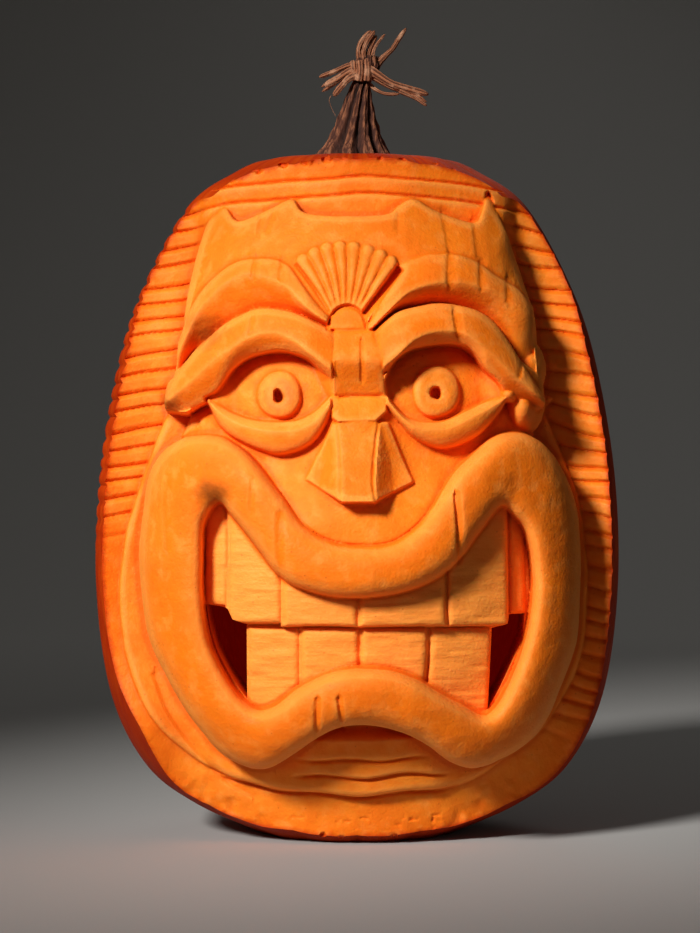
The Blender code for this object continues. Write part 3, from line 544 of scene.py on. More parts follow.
def stand_fan(height, x, z):
    """The scalloped fan of ribs on the forehead, with a cap below it."""
    cx, cz = FAN_CENTRE
    w, gx, gz = window(x, z, [(cx - 58, cz - 4), (cx + 58, cz + 58)])
    under = dome(gx, gz)
    angle = np.degrees(np.arctan2(gx - cx, gz - cz))
    reach = np.hypot(gx - cx, gz - cz)
    turn = (angle - FAN_START) / FAN_SPREAD * FAN_RIBS
    rib = np.abs(np.sin(math.pi * turn)) ** 0.6
    tip = FAN_OUTER + 5 * np.cos(np.radians(angle * 1.6)) - 2.2 * (1 - rib)
    beside = np.maximum(-turn, turn - FAN_RIBS) * math.radians(FAN_SPREAD / FAN_RIBS) * reach
    right = turn > FAN_RIBS / 2
    sunk = under - 13 - np.where(right, 6, 1) * np.clip(1 - beside / 5, 0, 1)
    ground = np.minimum.reduce([np.where(right, 5, 1.5) - beside, FAN_OUTER - reach,
                                reach - FAN_INNER])
    blend(height, w, np.minimum(height[w], sunk), ground)
    raised = under - FAN_DEPTH + 4.5 * ease((reach - 16) / 28)
    raised = raised - 2.0 * (1 - rib) * ease((reach - FAN_INNER) / 10)
    raised = raised - 2.5 * (1 - quarter_round((tip - reach) / 3))
    blend(height, w, raised, np.minimum.reduce([-beside, tip - reach, reach - 12]))
    lay_cap(height, w, gx, gz)


def lay_cap(height, w, gx, gz):
    """The half-moon cap below the fan, in a shallow recess."""
    under = dome(gx, gz)
    above = gz - CAP_CENTRE[1]
    away = np.hypot((gx - CAP_CENTRE[0]) * 1.15, above)
    blend(height, w, under - 15.5, np.minimum(CAP_RECESS - away, above))
    blend(height, w, under - CAP_DEPTH - 0.12 * away, np.minimum(CAP_RADIUS - away, above))


def lay_lips(height, x, z):
    """The lips, one closed roll round the mouth."""
    outer, inner = smooth_line(LIPS_OUTER, True), smooth_line(LIPS_INNER, True)
    w, gx, gz = window(x, z, outer, WALL)
    from_outer, from_inner = edge_distance(outer, gx, gz), -edge_distance(inner, gx, gz)
    across = 2 * from_outer / (np.abs(from_outer) + np.abs(from_inner) + 1e-9) - 1
    roll = np.clip(1 - np.abs(across) ** LIP_FULLNESS, 0, 1) ** (1 / LIP_FULLNESS)
    foot = np.where(across < 0, LIP_RISE + 5, LIP_RISE)
    lip = np.maximum(dome(gx, gz) - LIP_DEPTH - foot * (1 - roll), height[w] - 1.5)
    blend(height, w, lip, np.minimum(from_outer, from_inner))


def cut_mouth(height, x, z):
    """The two rows of teeth, and the ground behind them."""
    mouth = smooth_line(LIPS_INNER, True)
    w, gx, gz = window(x, z, mouth)
    under = dome(gx, gz)
    blend(height, w, under - GUM_DEPTH, edge_distance(mouth, gx, gz))
    upper = [(left, right, gz - bottom, depth) for left, right, bottom, depth in UPPER_TEETH]
    lower = [(left, right, BITE_LINE - BITE_GAP - gz, depth) for left, right, depth in LOWER_TEETH]
    for spread, sunk in ((TOOTH_GAP, GAP_DEPTH), (-TOOTH_GAP / 2, 0)):
        for left, right, from_bite, depth in upper + lower:
            sides = np.minimum(gx - left, right - gx) + spread
            edge = np.minimum.reduce([sides, from_bite, edge_distance(mouth, gx, gz) + TOOTH_ROOT])
            rounded = TOOTH_EDGE_DROP * (1 - quarter_round(edge / TOOTH_EDGE_WIDTH)) * (sunk == 0)
            blend(height, w, under - depth - sunk - rounded, edge)


def mask_relief(x, z):
    """The height of the carved front over the grid (x, z)."""
    height = border_level(x, z)
    cut_flutes(height, x, z)
    cut_top_bands(height, x, z)
    collar = border_level(x, z) + COLLAR_RISE
    stand(height, x, z, smooth_line(COLLAR, True), collar, rim=5, round_over=5)
    cut_chin(height, x, z)
    stand_block(height, x, z)
    lay_roll(height, x, z, **UPPER_BROW_LEFT)
    lay_roll(height, x, z, **UPPER_BROW_RIGHT)
    lay_muzzle(height, x, z)
    lay_roll(height, x, z, **BROW_LEFT)
    lay_roll(height, x, z, **BROW_RIGHT)
    swell(height, x, z, (-101, 268), (14, 12), depth=8, drop=20)    # tail of the left brow
    swell(height, x, z, (99, 262), (13, 20), depth=15, drop=26)     # temple below the right brow
    swell(height, x, z, (104, 283), (8, 14), depth=17, drop=8)      # and beside it
    stand_fan(height, x, z)
    cut_eye(height, x, z, **EYE_LEFT)
    cut_eye(height, x, z, **EYE_RIGHT)
    swell(height, x, z, (89, 266), (6, 5), depth=14, drop=8)        # corner of the right lid
    stand_nose(height, x, z)
    slope_beside_bridge(height, x, z)
    cut_mouth(height, x, z)
    lay_lips(height, x, z)
    return height


# ---- hand work on the relief --------------------------------------------------------------------
NICKS = [                        # line (x, z), width of the left wall, of the right wall, depth
    ([(-56.4, 373), (-57.6, 361)], 2, 5, 1.4), ([(-49.4, 374), (-54, 362)], 2, 4, 1.2),
    ([(49.2, 373), (51.5, 362), (52.7, 351)], 1.5, 8, 1.0), ([(68, 370), (70.2, 346)], 1.5, 7, 1.0),
    ([(24, 375), (23, 362)], 2, 4, 0.8), ([(52.5, 346), (52, 330)], 1.5, 6, 1.5),
    ([(71.5, 343), (71, 329)], 1.5, 5, 1.3), ([(88, 335), (87, 320)], 1.5, 5, 1.3),
    ([(-60, 345), (-61, 334)], 1.5, 4, 0.9), ([(-44, 344), (-45, 332)], 1.5, 4, 0.9),
    ([(55, 313), (57, 298)], 1.4, 5, 1.7), ([(96, 284), (94, 276)], 3, 1.5, 1.2),
    ([(-60, 313), (-62, 300)], 1.5, 3, 0.7), ([(-44, 197), (-44.5, 180), (-44, 161)], 3, 4, 1.2),
    ([(55, 208), (56.4, 190), (57, 171)], 1.2, 4, 2.6),
    ([(-23, 92), (-23.4, 80), (-23, 70)], 2, 3, 2.2),
    ([(-11, 93), (-9.6, 82), (-9, 71)], 1.4, 3, 2.2), ([(-60, 216), (-61, 199)], 1.5, 3, 0.7),
    ([(-109.6, 222), (-111, 200), (-110, 176)], 2, 4, 0.8), ([(2, 296), (2, 273)], 1, 2.5, 1.4),
    ([(-79, 246), (-68, 234.5), (-54, 228)], 1, 2, 1.0),
    ([(-121, 100), (-112, 78), (-98, 58), (-80, 38), (-62, 28)], 2, 5, 1.6),
]
BROWN_AND_SHADE_SPOTS = [                  # dried brown flesh and painted shade: centre (x, z), half size (x, z), strength
    (-111, 261, 9, 8, 1.0), (-90, 303, 16, 11, 0.9), (-84, 209, 11, 8, 1.1), (86, 214, 10, 9, 0.6),
    (-66, 318, 12, 5, 0.4), (104, 268, 10, 12, 0.4), (-76, 58, 16, 6, 0.35), (70, 56, 18, 7, 0.35),
    (-43, 263, 32, 20, 0.5),
]
CHIPS = [                        # in the border: centre (x, z), half size (x, z), depth
    (-20, 3, 3, 5, 5), (-9, 2, 4, 4, 3), (22, 3, 3, 4, 5),
    (-37, 16, 7, 1.5, 0.9), (-9, 14, 6, 1.6, 1.0), (31, 15, 7, 1.5, 1.0), (26, 12, 5, 1.2, 0.8),
    (45, 12, 1.5, 5, 1.2), (48, 17, 5, 1.2, 0.8), (4, 16, 3, 1.2, 0.8),
    (-18, 407, 4, 4, 4), (-8, 408, 3, 3, 4), (13, 408, 3, 3, 3), (-30, 406, 5, 4, 4),
    (-44, 405, 4, 4, 4), (-60, 402, 5, 4, 4), (28, 408, 5, 3, 3), (47, 407, 5, 4, 3),
    (60, 404, 6, 4, 4), (82, 396, 5, 4, 4), (-76, 397, 5, 4, 4), (-88, 389, 4, 4, 3),
]


def uneven(x, z, size, seed):
    """Soft unevenness from -1 to 1, with lumps about `size` mm across."""
    lumps = np.random.default_rng(seed).uniform(-1, 1, (int(1000 / size) + 3,) * 2)
    u, v = (x + 480) / size, (z + 480) / size
    i, j = u.astype(int), v.astype(int)
    a, b = ease(u - i), ease(v - j)
    near = lumps[j, i] * (1 - a) + lumps[j, i + 1] * a
    return near * (1 - b) + (lumps[j + 1, i] * (1 - a) + lumps[j + 1, i + 1] * a) * b


def feather_cut(height, x, z, points, left, right, depth):
    """A nick with a wall to its left and one to its right, of their own widths."""
    line = smooth_line(points)
    w, gx, gz = window(x, z, line, max(left, right))
    away = distance(line, gx, gz)
    beside = gx - np.interp(gz, line[::-1, 1], line[::-1, 0])
    height[w] -= depth * np.clip(1 - away / np.where(beside < 0, left, right), 0, 1)


def wander(height, x, z):
    """The relief with every cut wandering a little, as it does under a hand-held knife."""
    to_side = CUT_STRAY * uneven(x, z, 30, 9) + HAND_SHAKE * uneven(x, z, 6, 12)
    up = CUT_STRAY * uneven(x, z, 27, 10) + HAND_SHAKE * uneven(x, z, 6, 13)
    points = np.stack([x + to_side, height, z + up], axis=-1).reshape(-1, 3)
    return read_grid(height, points).reshape(x.shape)


def work_by_hand(height, x, z):
    """Everything that a hand-held knife leaves: a worn fold, nicks, chips and unevenness."""
    worn = np.exp(-((x - 1) / 15) ** 4 - ((z - 287) / 7) ** 4)     # the fold of the bridge
    height += worn * (soften(height, FOLD_REACH) - height)
    for points, left, right, depth in NICKS:
        feather_cut(height, x, z, points, left, right, depth)
    chip(height, x, z)
    roughen(height, x, z)
    fray_border(height, x, z)


def chip(height, x, z):
    """Shallow chips with ragged floors."""
    ragged = 0.5 + uneven(x, z, 2.6, 5)
    for cx, cz, half_x, half_z, depth in CHIPS:
        scoop = 1 - ((x - cx) / half_x) ** 2 - ((z - cz) / half_z) ** 2
        height -= depth * ease(1.4 * scoop) * ragged


def roughen(height, x, z):
    """Facets that the knife leaves, and the level strings of the flesh on the teeth."""
    height += sum(rise * uneven(x, z, size, seed) for rise, size, seed in FACETS)
    height -= FACET_DIP * np.abs(uneven(x, z, 20, 11))
    teeth = np.clip(edge_distance(smooth_line(LIPS_INNER, True), x, z) / 3, 0, 1)
    strings = TOOTH_STRINGS * uneven(x / 6, z, 2.4, 4) + TOOTH_WAVES * uneven(x / 2, z, 6, 6)
    height += teeth * strings


def fray_border(height, x, z):
    """The ragged edge where the cut border meets the rind, most ragged low down."""
    out = np.hypot(x / 158, (z - 200) / 207)     # 1 where the border ends
    rim = ease((out - 0.92) / 0.05) * (0.9 * uneven(x, z, 4.5, 7) + 1.2 * uneven(x, z, 10, 8))
    height += rim * (0.2 + 0.8 * ease((50 - z) / 30))


# ---- meshes -------------------------------------------------------------------------------------
def hex_colour(text):
    """A screen colour such as #ff9a3c as linear red, green, blue and alpha."""
    parts = [int(text[i:i + 2], 16) / 255 for i in (1, 3, 5)]
    return (*[c / 12.92 if c <= 0.04045 else ((c + 0.055) / 1.055) ** 2.4 for c in parts], 1.0)


def add_mesh(name, points_mm, faces):
    """A new object from points in mm and faces."""
    mesh = bpy.data.meshes.new(name)
    points = np.asarray(points_mm, float) * MM
    mesh.from_pydata(points.tolist(), [], faces)
    made = bpy.data.objects.new(name, mesh)
    bpy.context.scene.collection.objects.link(made)
    return made


def final_mesh(made):
    """The object's mesh with its modifiers carried out."""
    done = made.evaluated_get(bpy.context.evaluated_depsgraph_get())
    return bpy.data.meshes.new_from_object(done)


def ring_faces(rings, sides):
    """Faces of a closed stack of rings, wound outwards for rings that run upwards."""
    faces = []
    for r in range(rings - 1):
        for s in range(sides):
            a, b = r * sides + s, r * sides + (s + 1) % sides
            faces.append((a, b, b + sides, a + sides))
    faces.append(tuple(reversed(range(sides))))
    faces.append(tuple(range((rings - 1) * sides, rings * sides)))
    return faces


def full_turn(count):
    """Evenly spaced angles round the axis."""
    return 2 * math.pi * np.arange(count) / count


def level_ring(x, y, height):
    """A ring of points at one height."""
    return np.stack([x, y, np.full(len(x), height)], axis=1)


def furrow(angle):
    """How far the skin dips between two lobes, 0 to 1."""
    return 1 - np.abs(np.sin(LOBES * angle / 2)) ** 0.8


def blank():
    """The whole fruit before it is carved, nicked where the gouge ran on over its left side."""
    profile = smooth_line(BLANK_PROFILE, per_span=BLANK_RINGS)
    rings = [(r, max(z, 0.0)) for r, z in profile] + [(DIMPLE_RADIUS, DIMPLE_FLOOR)]
    angle = full_turn(BLANK_SIDES)
    from_left = np.degrees(angle) - 270
    run_on = ease((from_left + 40) / 25) * (from_left < 60)      # where the nicks reach, 0 to 1
    points = []
    for radius, height in rings:
        r = radius - LOBE_DEPTH * min(1.0, radius / 60) * furrow(angle)
        nick = gouge(-155, height)[0] * ease((height - FLUTE_FOOT_LEFT) / 40)
        r = r - RUN_ON_DEPTH * (nick * ease((FLUTE_TOP - height) / 10)) * run_on
        points.append(level_ring(r * np.sin(angle), -r * BLANK_FLATNESS * np.cos(angle), height))
    return np.vstack(points), ring_faces(len(rings), BLANK_SIDES)


def carving_solid(x, z, height):
    """Everything in front of the relief: the relief as a sheet, closed by a flat front."""
    sheet = np.stack([x, -height, z], axis=-1).reshape(-1, 3)
    rows, cols = x.shape
    corner = np.arange(rows * cols).reshape(rows, cols)
    quads = np.stack([corner[:-1, :-1], corner[1:, :-1], corner[1:, 1:], corner[:-1, 1:]], axis=-1)
    rim = np.concatenate([corner[0, :-1], corner[:-1, -1], corner[-1, :0:-1], corner[:0:-1, 0]])
    front = sheet[rim]
    front[:, 1] = -CARVING_FRONT
    outer = rows * cols + np.arange(len(rim))
    walls = np.stack([rim, np.roll(rim, -1), np.roll(outer, -1), outer], axis=-1)
    faces = quads.reshape(-1, 4).tolist() + walls.tolist() + [outer.tolist()]
    return np.vstack([sheet, front]), faces


def corner_solid(outline):
    """What is cut away at a corner of the mouth: a clockwise outline, run through to the front."""
    count = len(outline)
    points = [(x, -level, z) for level in (0, CARVING_FRONT) for x, z in reversed(outline)]
    sides = [(i, (i + 1) % count, count + (i + 1) % count, count + i) for i in range(count)]
    return points, sides + [tuple(reversed(range(count))), tuple(range(count, 2 * count))]


def hollow():
    """The scooped-out inside, with the uneven wall that a scraping spoon leaves."""
    middle, half = (HOLLOW_TOP + HOLLOW_FLOOR) / 2, (HOLLOW_TOP - HOLLOW_FLOOR) / 2
    angle = full_turn(HOLLOW_SIDES)
    depth = np.where(np.cos(angle) > 0, HOLLOW_FRONT, HOLLOW_BACK)
    points = []
    for level in np.linspace(-HOLLOW_ENDS, HOLLOW_ENDS, HOLLOW_RINGS):
        scrape = 0.8 * np.sin(9 * angle + 7 * level) * math.cos(1.5 * level)
        radius = (1 - abs(level) ** HOLLOW_SQUARENESS) ** (1 / HOLLOW_SQUARENESS)
        radius = radius * (1 - 0.006 * (1 + scrape))
        points.append(level_ring(radius * HOLLOW_HALF_WIDTH * np.sin(angle),
                                 -radius * depth * np.cos(angle), middle + half * level))
    return np.vstack(points), ring_faces(HOLLOW_RINGS, HOLLOW_SIDES)


def read_grid(field, points):
    """The value of a relief field at each point (x, y, z), between grid points."""
    u = np.clip((points[:, 0] - RELIEF_LEFT) / RELIEF_STEP, 0, field.shape[1] - 1.001)
    v = np.clip((points[:, 2] - RELIEF_FOOT) / RELIEF_STEP, 0, field.shape[0] - 1.001)
    i, j = u.astype(int), v.astype(int)
    a, b = u - i, v - j
    low = field[j, i] * (1 - a) + field[j, i + 1] * a
    return low * (1 - b) + (field[j + 1, i] * (1 - a) + field[j + 1, i + 1] * a) * b


def soften(field, reach):
    """A field averaged over about `reach` mm each way."""
    width = max(1, round(reach / RELIEF_STEP))
    for axis in (0, 1):
        for _ in range(2):
            pad = [(0, 0), (0, 0)]
            pad[axis] = (width + 1, width)
            total = np.cumsum(np.pad(field, pad, mode="edge"), axis=axis)
            count = field.shape[axis]
            late = np.take(total, np.arange(2 * width + 1, 2 * width + 1 + count), axis=axis)
            field = (late - np.take(total, np.arange(count), axis=axis)) / (2 * width + 1)
    return field


def mark(mesh, name, values):
    """Keep a number at each point of a mesh for its material."""
    layer = mesh.attributes.new(name, "FLOAT", "POINT")
    layer.data.foreach_set("value", np.asarray(values, np.float32))


def read_out(items, key, kind=np.int32, size=1):
    """One property of all points, faces or corners of a mesh."""
    values = np.empty(size * len(items), kind)
    items.foreach_get(key, values)
    return values


def points_of(mesh):
    """The points of a mesh, in mm."""
    return read_out(mesh.vertices, "co", np.float32, 3).reshape(-1, 3).astype(float) / MM


def carved_relief():
    """The grid (x, z) and the height of the carved front over it."""
    x, z = np.meshgrid(np.arange(RELIEF_LEFT, RELIEF_RIGHT, RELIEF_STEP),
                       np.arange(RELIEF_FOOT, RELIEF_TOP, RELIEF_STEP))
    height = wander(mask_relief(x, z), x, z)
    work_by_hand(height, x, z)
    return x, z, height


def carve_fruit(x, z, height):
    """The carved fruit as one closed mesh, its faces marked rind, flesh or wall of the hollow."""
    marks = [bpy.data.materials.new(name) for name in ("rind_mark", "flesh_mark", "wall_mark")]
    fruit = add_mesh("fruit", *blank())
    tools = [add_mesh("carving", *carving_solid(x, z, height)), add_mesh("hollow", *hollow()),
             add_mesh("corner_left", *corner_solid(CORNER_LEFT)),
             add_mesh("corner_right", *corner_solid(CORNER_RIGHT))]
    for made, which in zip([fruit] + tools, (RIND_FACES, FLESH_FACES, WALL_FACES, FLESH_FACES,
                                             FLESH_FACES)):
        made.data.materials.append(marks[which])
    for tool in tools:
        cut_away(fruit, tool)
    carved = bpy.data.objects.new("carved", final_mesh(fruit))
    bpy.context.scene.collection.objects.link(carved)
    thin = carved.modifiers.new("thin out", "DECIMATE")
    thin.ratio = KEPT_SHARE
    whole = final_mesh(carved)
    for made in [fruit, carved] + tools:
        bpy.data.objects.remove(made)
    return whole


def cut_away(fruit, tool):
    """Cut a tool's shape out of the fruit; the new faces take the tool's mark."""
    step = fruit.modifiers.new(tool.name, "BOOLEAN")
    step.object = tool
    step.operation = "DIFFERENCE"
    step.solver = "MANIFOLD"
    step.material_mode = "TRANSFER"


def part_off(whole, which, name):
    """The faces with one mark as a piece of its own."""
    ours = read_out(whole.polygons, "material_index") == which
    starts = read_out(whole.polygons, "loop_start")[ours]
    totals = read_out(whole.polygons, "loop_total")[ours]
    corners = read_out(whole.loops, "vertex_index")
    kept = [corners[start:start + total] for start, total in zip(starts, totals)]
    used, fresh = np.unique(np.concatenate(kept), return_inverse=True)
    ends = np.cumsum([len(face) for face in kept])[:-1]
    faces = [face.tolist() for face in np.split(fresh, ends)]
    points = points_of(whole)[used]
    piece = add_mesh(name, points, faces)
    piece.data.shade_smooth()
    piece.data.set_sharp_from_angle(angle=math.radians(SHARP_FROM))
    return piece, points


def finish_piece(piece, material, node):
    """Give a piece its material, hang it under the root body and hide the solid that it dresses."""
    piece.data.materials.clear()
    piece.data.materials.append(material)
    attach(piece, "root")
    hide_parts(node)


def skin_level(x, z):
    """How far the skin of the whole fruit stands forward."""
    return BLANK_FLATNESS * np.sqrt(np.maximum(blank_radius(z) ** 2 - x ** 2, 0))


def build_fruit():
    """The rind, the carved flesh and the wall of the hollow."""
    x, z, height = carved_relief()
    whole = carve_fruit(x, z, height)
    for which, name, material in ((RIND_FACES, "pumpkin_rind", waxy_rind()),
                                  (FLESH_FACES, "pumpkin_carved_flesh", carved_flesh()),
                                  (WALL_FACES, "pumpkin_hollow_wall", scraped_wall())):
        piece, points = part_off(whole, which, name)
        if which == RIND_FACES:
            angle = np.arctan2(points[:, 0], -points[:, 1] / BLANK_FLATNESS)
            mark(piece.data, "around", np.degrees(angle) / 360 * LOBES)
        if which == FLESH_FACES:
            mark_flesh(piece.data, points, x, z, height)
        finish_piece(piece, material, "pumpkin")


def mark_flesh(mesh, points, x, z, height):
    """What the flesh's colours, painted shade among them, go by: how deep, hollow, brown and near
    the rind each point is.
    """
    level = -points[:, 1]
    skin = skin_level(points[:, 0], points[:, 2])
    fine, broad = soften(height, CREASE_REACH), soften(height, RECESS_REACH)
    near_rind = soften((skin_level(x, z) < height).astype(float), CREASE_REACH)
    mark(mesh, "depth", (skin - level) / 30)
    # painted shade and highlight: creases are coloured a deeper orange, ridges paler
    mark(mesh, "crease_shading", (read_grid(fine, points) - level) / 2.0)
    # painted shade: recesses are coloured a deeper orange
    mark(mesh, "recess", (read_grid(broad, points) - level) / 8.0)
    mark(mesh, "tooth", in_mouth(points))
    mark(mesh, "near_rind", read_grid(near_rind, points))
    mark(mesh, "browned_and_shaded", browned_and_shaded(points))


def browned_and_shaded(points):
    """How far each point is coloured brown, for dried flesh and for painted shade, 0 to 1."""
    x, _, z = points.T
    spots = [most * np.exp(-((x - cx) / half_x) ** 2 - ((z - cz) / half_z) ** 2)
             for cx, cz, half_x, half_z, most in BROWN_AND_SHADE_SPOTS]
    return np.max(spots, axis=0)


def in_mouth(points):
    """1 on the teeth, 0 elsewhere."""
    x, _, z = points.T
    return np.clip(edge_distance(smooth_line(LIPS_INNER, True), x, z) / 2, 0, 1)


# ---- materials ----------------------------------------------------------------------------------
def start_material(name, sockets):
    """A material with one shader; its tree, its shader and where each point lies.

    Its base colour is what shows where only plain colours are drawn.
    """
    made = bpy.data.materials.new(name)
    made.use_nodes = True
    shader = made.node_tree.nodes["Principled BSDF"]
    fill_sockets(made.node_tree, shader, sockets)
    place = node(made.node_tree, "ShaderNodeTexCoord").outputs["Object"]
    return made, made.node_tree, shader, place


def node(tree, kind, sockets=None, **settings):
    """Add one node with its settings and what goes into its sockets."""
    made = tree.nodes.new(kind)
    for key, value in settings.items():
        setattr(made, key, value)
    fill_sockets(tree, made, sockets or {})
    return made


def fill_sockets(tree, made, sockets):
    """Give a node's inputs numbers, hex colours or other nodes' outputs."""
    for key, value in sockets.items():
        if isinstance(value, bpy.types.NodeSocket):
            tree.links.new(value, made.inputs[key])
        else:
            value = hex_colour(value) if isinstance(value, str) else value
            made.inputs[key].default_value = value


def lay_colours(tree, colour, layers):
    """Colours laid one over another: each with its mask, the mask's span and its greatest share."""
    for mask, low, high, most, tone in layers:
        share = node(tree, "ShaderNodeMapRange",
                     {"Value": mask, "From Min": low, "From Max": high, "To Max": most})
        colour = node(tree, "ShaderNodeMix", {0: share.outputs[0], 6: colour, 7: tone},
                      data_type="RGBA").outputs[2]
    return colour


def level_strings(tree, place, tooth):
    """The flesh's level strings, 1.5 mm thick and six times as long, strongest on the teeth."""
    level = node(tree, "ShaderNodeMapping", {"Vector": place, "Scale": (1 / 6, 1 / 6, 1)})
    strings = node(tree, "ShaderNodeTexNoise", {"Vector": level.outputs["Vector"],
                                                "Scale": 1 / (1.5 * MM), "Detail": 3.0})
    share = node(tree, "ShaderNodeMapRange", {"Value": tooth, "To Min": 0.15})
    return node(tree, "ShaderNodeMath", {0: strings.outputs["Fac"], 1: share.outputs[0]},
                operation="MULTIPLY").outputs[0]


def flesh_colour(tree, place, kept, patterns):
    """The tones of cut flesh, each where it shows, with a few dark pores 7 mm apart."""
    cloud, patch, speck, string = patterns
    fray = node(tree, "ShaderNodeMapRange", {"Value": speck, "From Min": 0.3, "From Max": 0.7,
                                             "To Min": -0.06, "To Max": 0.06})
    edge = node(tree, "ShaderNodeMath", {0: kept["near_rind"], 1: fray.outputs[0]}).outputs[0]
    # less of the painted shade of creases and recesses on the teeth
    off_tooth = node(tree, "ShaderNodeMath", {0: kept["tooth"], 1: -0.7, 2: 1.0},
                     operation="MULTIPLY_ADD").outputs[0]
    recess, crease_shading, brown = [
        node(tree, "ShaderNodeMath", {0: kept[name], 1: share}, operation="MULTIPLY").outputs[0]
        for name, share in (("recess", off_tooth), ("crease_shading", off_tooth), ("browned_and_shaded", patch))]
    pores = node(tree, "ShaderNodeTexVoronoi", {"Vector": place, "Scale": 1 / (7 * MM)})
    return lay_colours(tree, FLESH_OUTER, [
        (kept["depth"], 0.2, 1.2, 1.0, FLESH_LIGHT), (cloud, 0.4, 0.66, 0.6, FLESH_MID),
        (patch, 0.5, 0.72, 0.45, FLESH_MID), (patch, 0.48, 0.3, 0.35, FLESH_PALE),
        # painted light: the teeth are laid paler, against the shadow of the lips
        (speck, 0.52, 0.75, 0.3, FLESH_MID), (kept["tooth"], 0.0, 1.0, 0.6, FLESH_PALE),
        # painted shade, deep orange in creases, and a painted highlight, pale on ridges:
        (string, 0.45, 0.65, 0.35, FLESH_PALE), (crease_shading, 0.05, 0.8, 0.5, FLESH_DEEP),
        # painted shade: deep orange in recesses, as well
        (crease_shading, -0.06, -0.5, 0.5, FLESH_PALE), (recess, 0.3, 1.3, 0.3, FLESH_DEEP),
        # partly painted shade: the brown spots
        (brown, 0.12, 0.6, 0.85, BROWN_AND_SHADE), (edge, 0.08, 0.42, 0.8, UNDER_RIND),
        (pores.outputs["Distance"], 0.10, 0.04, 0.35, PORE)])


def carved_flesh():
    """Pumpkin flesh cut with a loop tool and a knife: moist, waxy, glowing a little from within.

    It is deep orange just under the skin and yellower further in.
    Its ridges are painted pale, a painted highlight, and its creases and recesses a deep orange,
    painted shade; the last millimetres under the skin are red. The teeth show the flesh's level
    strings and are painted paler, painted light against the lips' shadow. Its brown spots are
    partly dried flesh and partly painted shade.
    """
    made, tree, shader, place = start_material("pumpkin flesh, knife-carved", {
        "Base Color": FLESH_MID, "IOR": 1.4, "Specular IOR Level": 0.2, "Subsurface Weight": 0.16,
        "Subsurface Radius": (1.0, 0.35, 0.1), "Subsurface Scale": 3.5 * MM})
    kept = {name: node(tree, "ShaderNodeAttribute", attribute_name=name).outputs["Fac"]
            for name in ("depth", "crease_shading", "recess", "tooth", "near_rind", "browned_and_shaded")}
    # mm: flesh that ripened alike, patches, specks, and its cells, drawn coarse so as to show
    cloud, patch, speck, grit = [
        node(tree, "ShaderNodeTexNoise", {"Vector": place, "Scale": 1 / (size * MM), "Detail": 3.0})
        .outputs["Fac"] for size in (26, 9, 3.2, 1.6)]
    string = level_strings(tree, place, kept["tooth"])
    colour = flesh_colour(tree, place, kept, (cloud, patch, speck, string))
    damp = node(tree, "ShaderNodeMapRange", {"Value": cloud, "From Min": 0.3, "From Max": 0.7,
                                             "To Min": 0.52, "To Max": 0.7})
    height = string
    for part, share in ((grit, 0.5), (speck, 0.8), (patch, 1.0)):
        height = node(tree, "ShaderNodeMath", {0: part, 1: share, 2: height},
                      operation="MULTIPLY_ADD").outputs[0]
    bump = node(tree, "ShaderNodeBump", {"Height": height, "Distance": 0.34 * MM})
    fill_sockets(tree, shader, {"Base Color": colour, "Roughness": damp.outputs[0],
                                "Normal": bump.outputs["Normal"]})
    return made


def waxy_rind():
    """Pumpkin rind, hard and waxy: deep red-orange, with fine stripes from stalk to base.

    It is painted a deeper red low down, painted shade where it turns under.
    """
    made, tree, shader, place = start_material(
        "pumpkin rind, waxy", {"Base Color": RIND, "IOR": 1.4, "Specular IOR Level": 0.05})
    around = node(tree, "ShaderNodeAttribute", attribute_name="around").outputs["Fac"]
    up = node(tree, "ShaderNodeSeparateXYZ", {"Vector": place}).outputs["Z"]
    # 16 stripes to a lobe, each about 5 mm wide and 20 mm long
    slow = node(tree, "ShaderNodeMath", {0: up, 1: 3.0}, operation="MULTIPLY").outputs[0]
    skin = node(tree, "ShaderNodeCombineXYZ", {"X": around, "Y": slow}).outputs["Vector"]
    stripes = node(tree, "ShaderNodeTexNoise", {"Vector": skin, "Scale": 16.0, "Detail": 4.0})
    stripes = stripes.outputs["Fac"]
    # mm: patches that the sun reached, puckers of the skin, and corky flecks
    cloud, pucker, fleck = [
        node(tree, "ShaderNodeTexNoise", {"Vector": place, "Scale": 1 / (size * MM), "Detail": 3.0})
        .outputs["Fac"] for size in (40, 5, 1.4)]
    colour = lay_colours(tree, RIND, [
        (stripes, 0.4, 0.7, 0.9, RIND_LIGHT), (cloud, 0.4, 0.75, 0.6, RIND_DEEP),
        # painted shade: a deeper red below 0.17 m
        (up, 0.17, 0.05, 0.6, RIND_DEEP), (fleck, 0.64, 0.72, 0.45, RIND_FLECK)])
    gloss = node(tree, "ShaderNodeMapRange", {"Value": stripes, "From Min": 0.3, "From Max": 0.7,
                                              "To Min": 0.45, "To Max": 0.65})
    height = node(tree, "ShaderNodeMath", {0: pucker, 1: 0.6, 2: stripes}, operation="MULTIPLY_ADD")
    bump = node(tree, "ShaderNodeBump", {"Height": height.outputs[0], "Distance": 0.6 * MM})
    fill_sockets(tree, shader, {"Base Color": colour, "Roughness": gloss.outputs[0],
                                "Normal": bump.outputs["Normal"]})
    return made


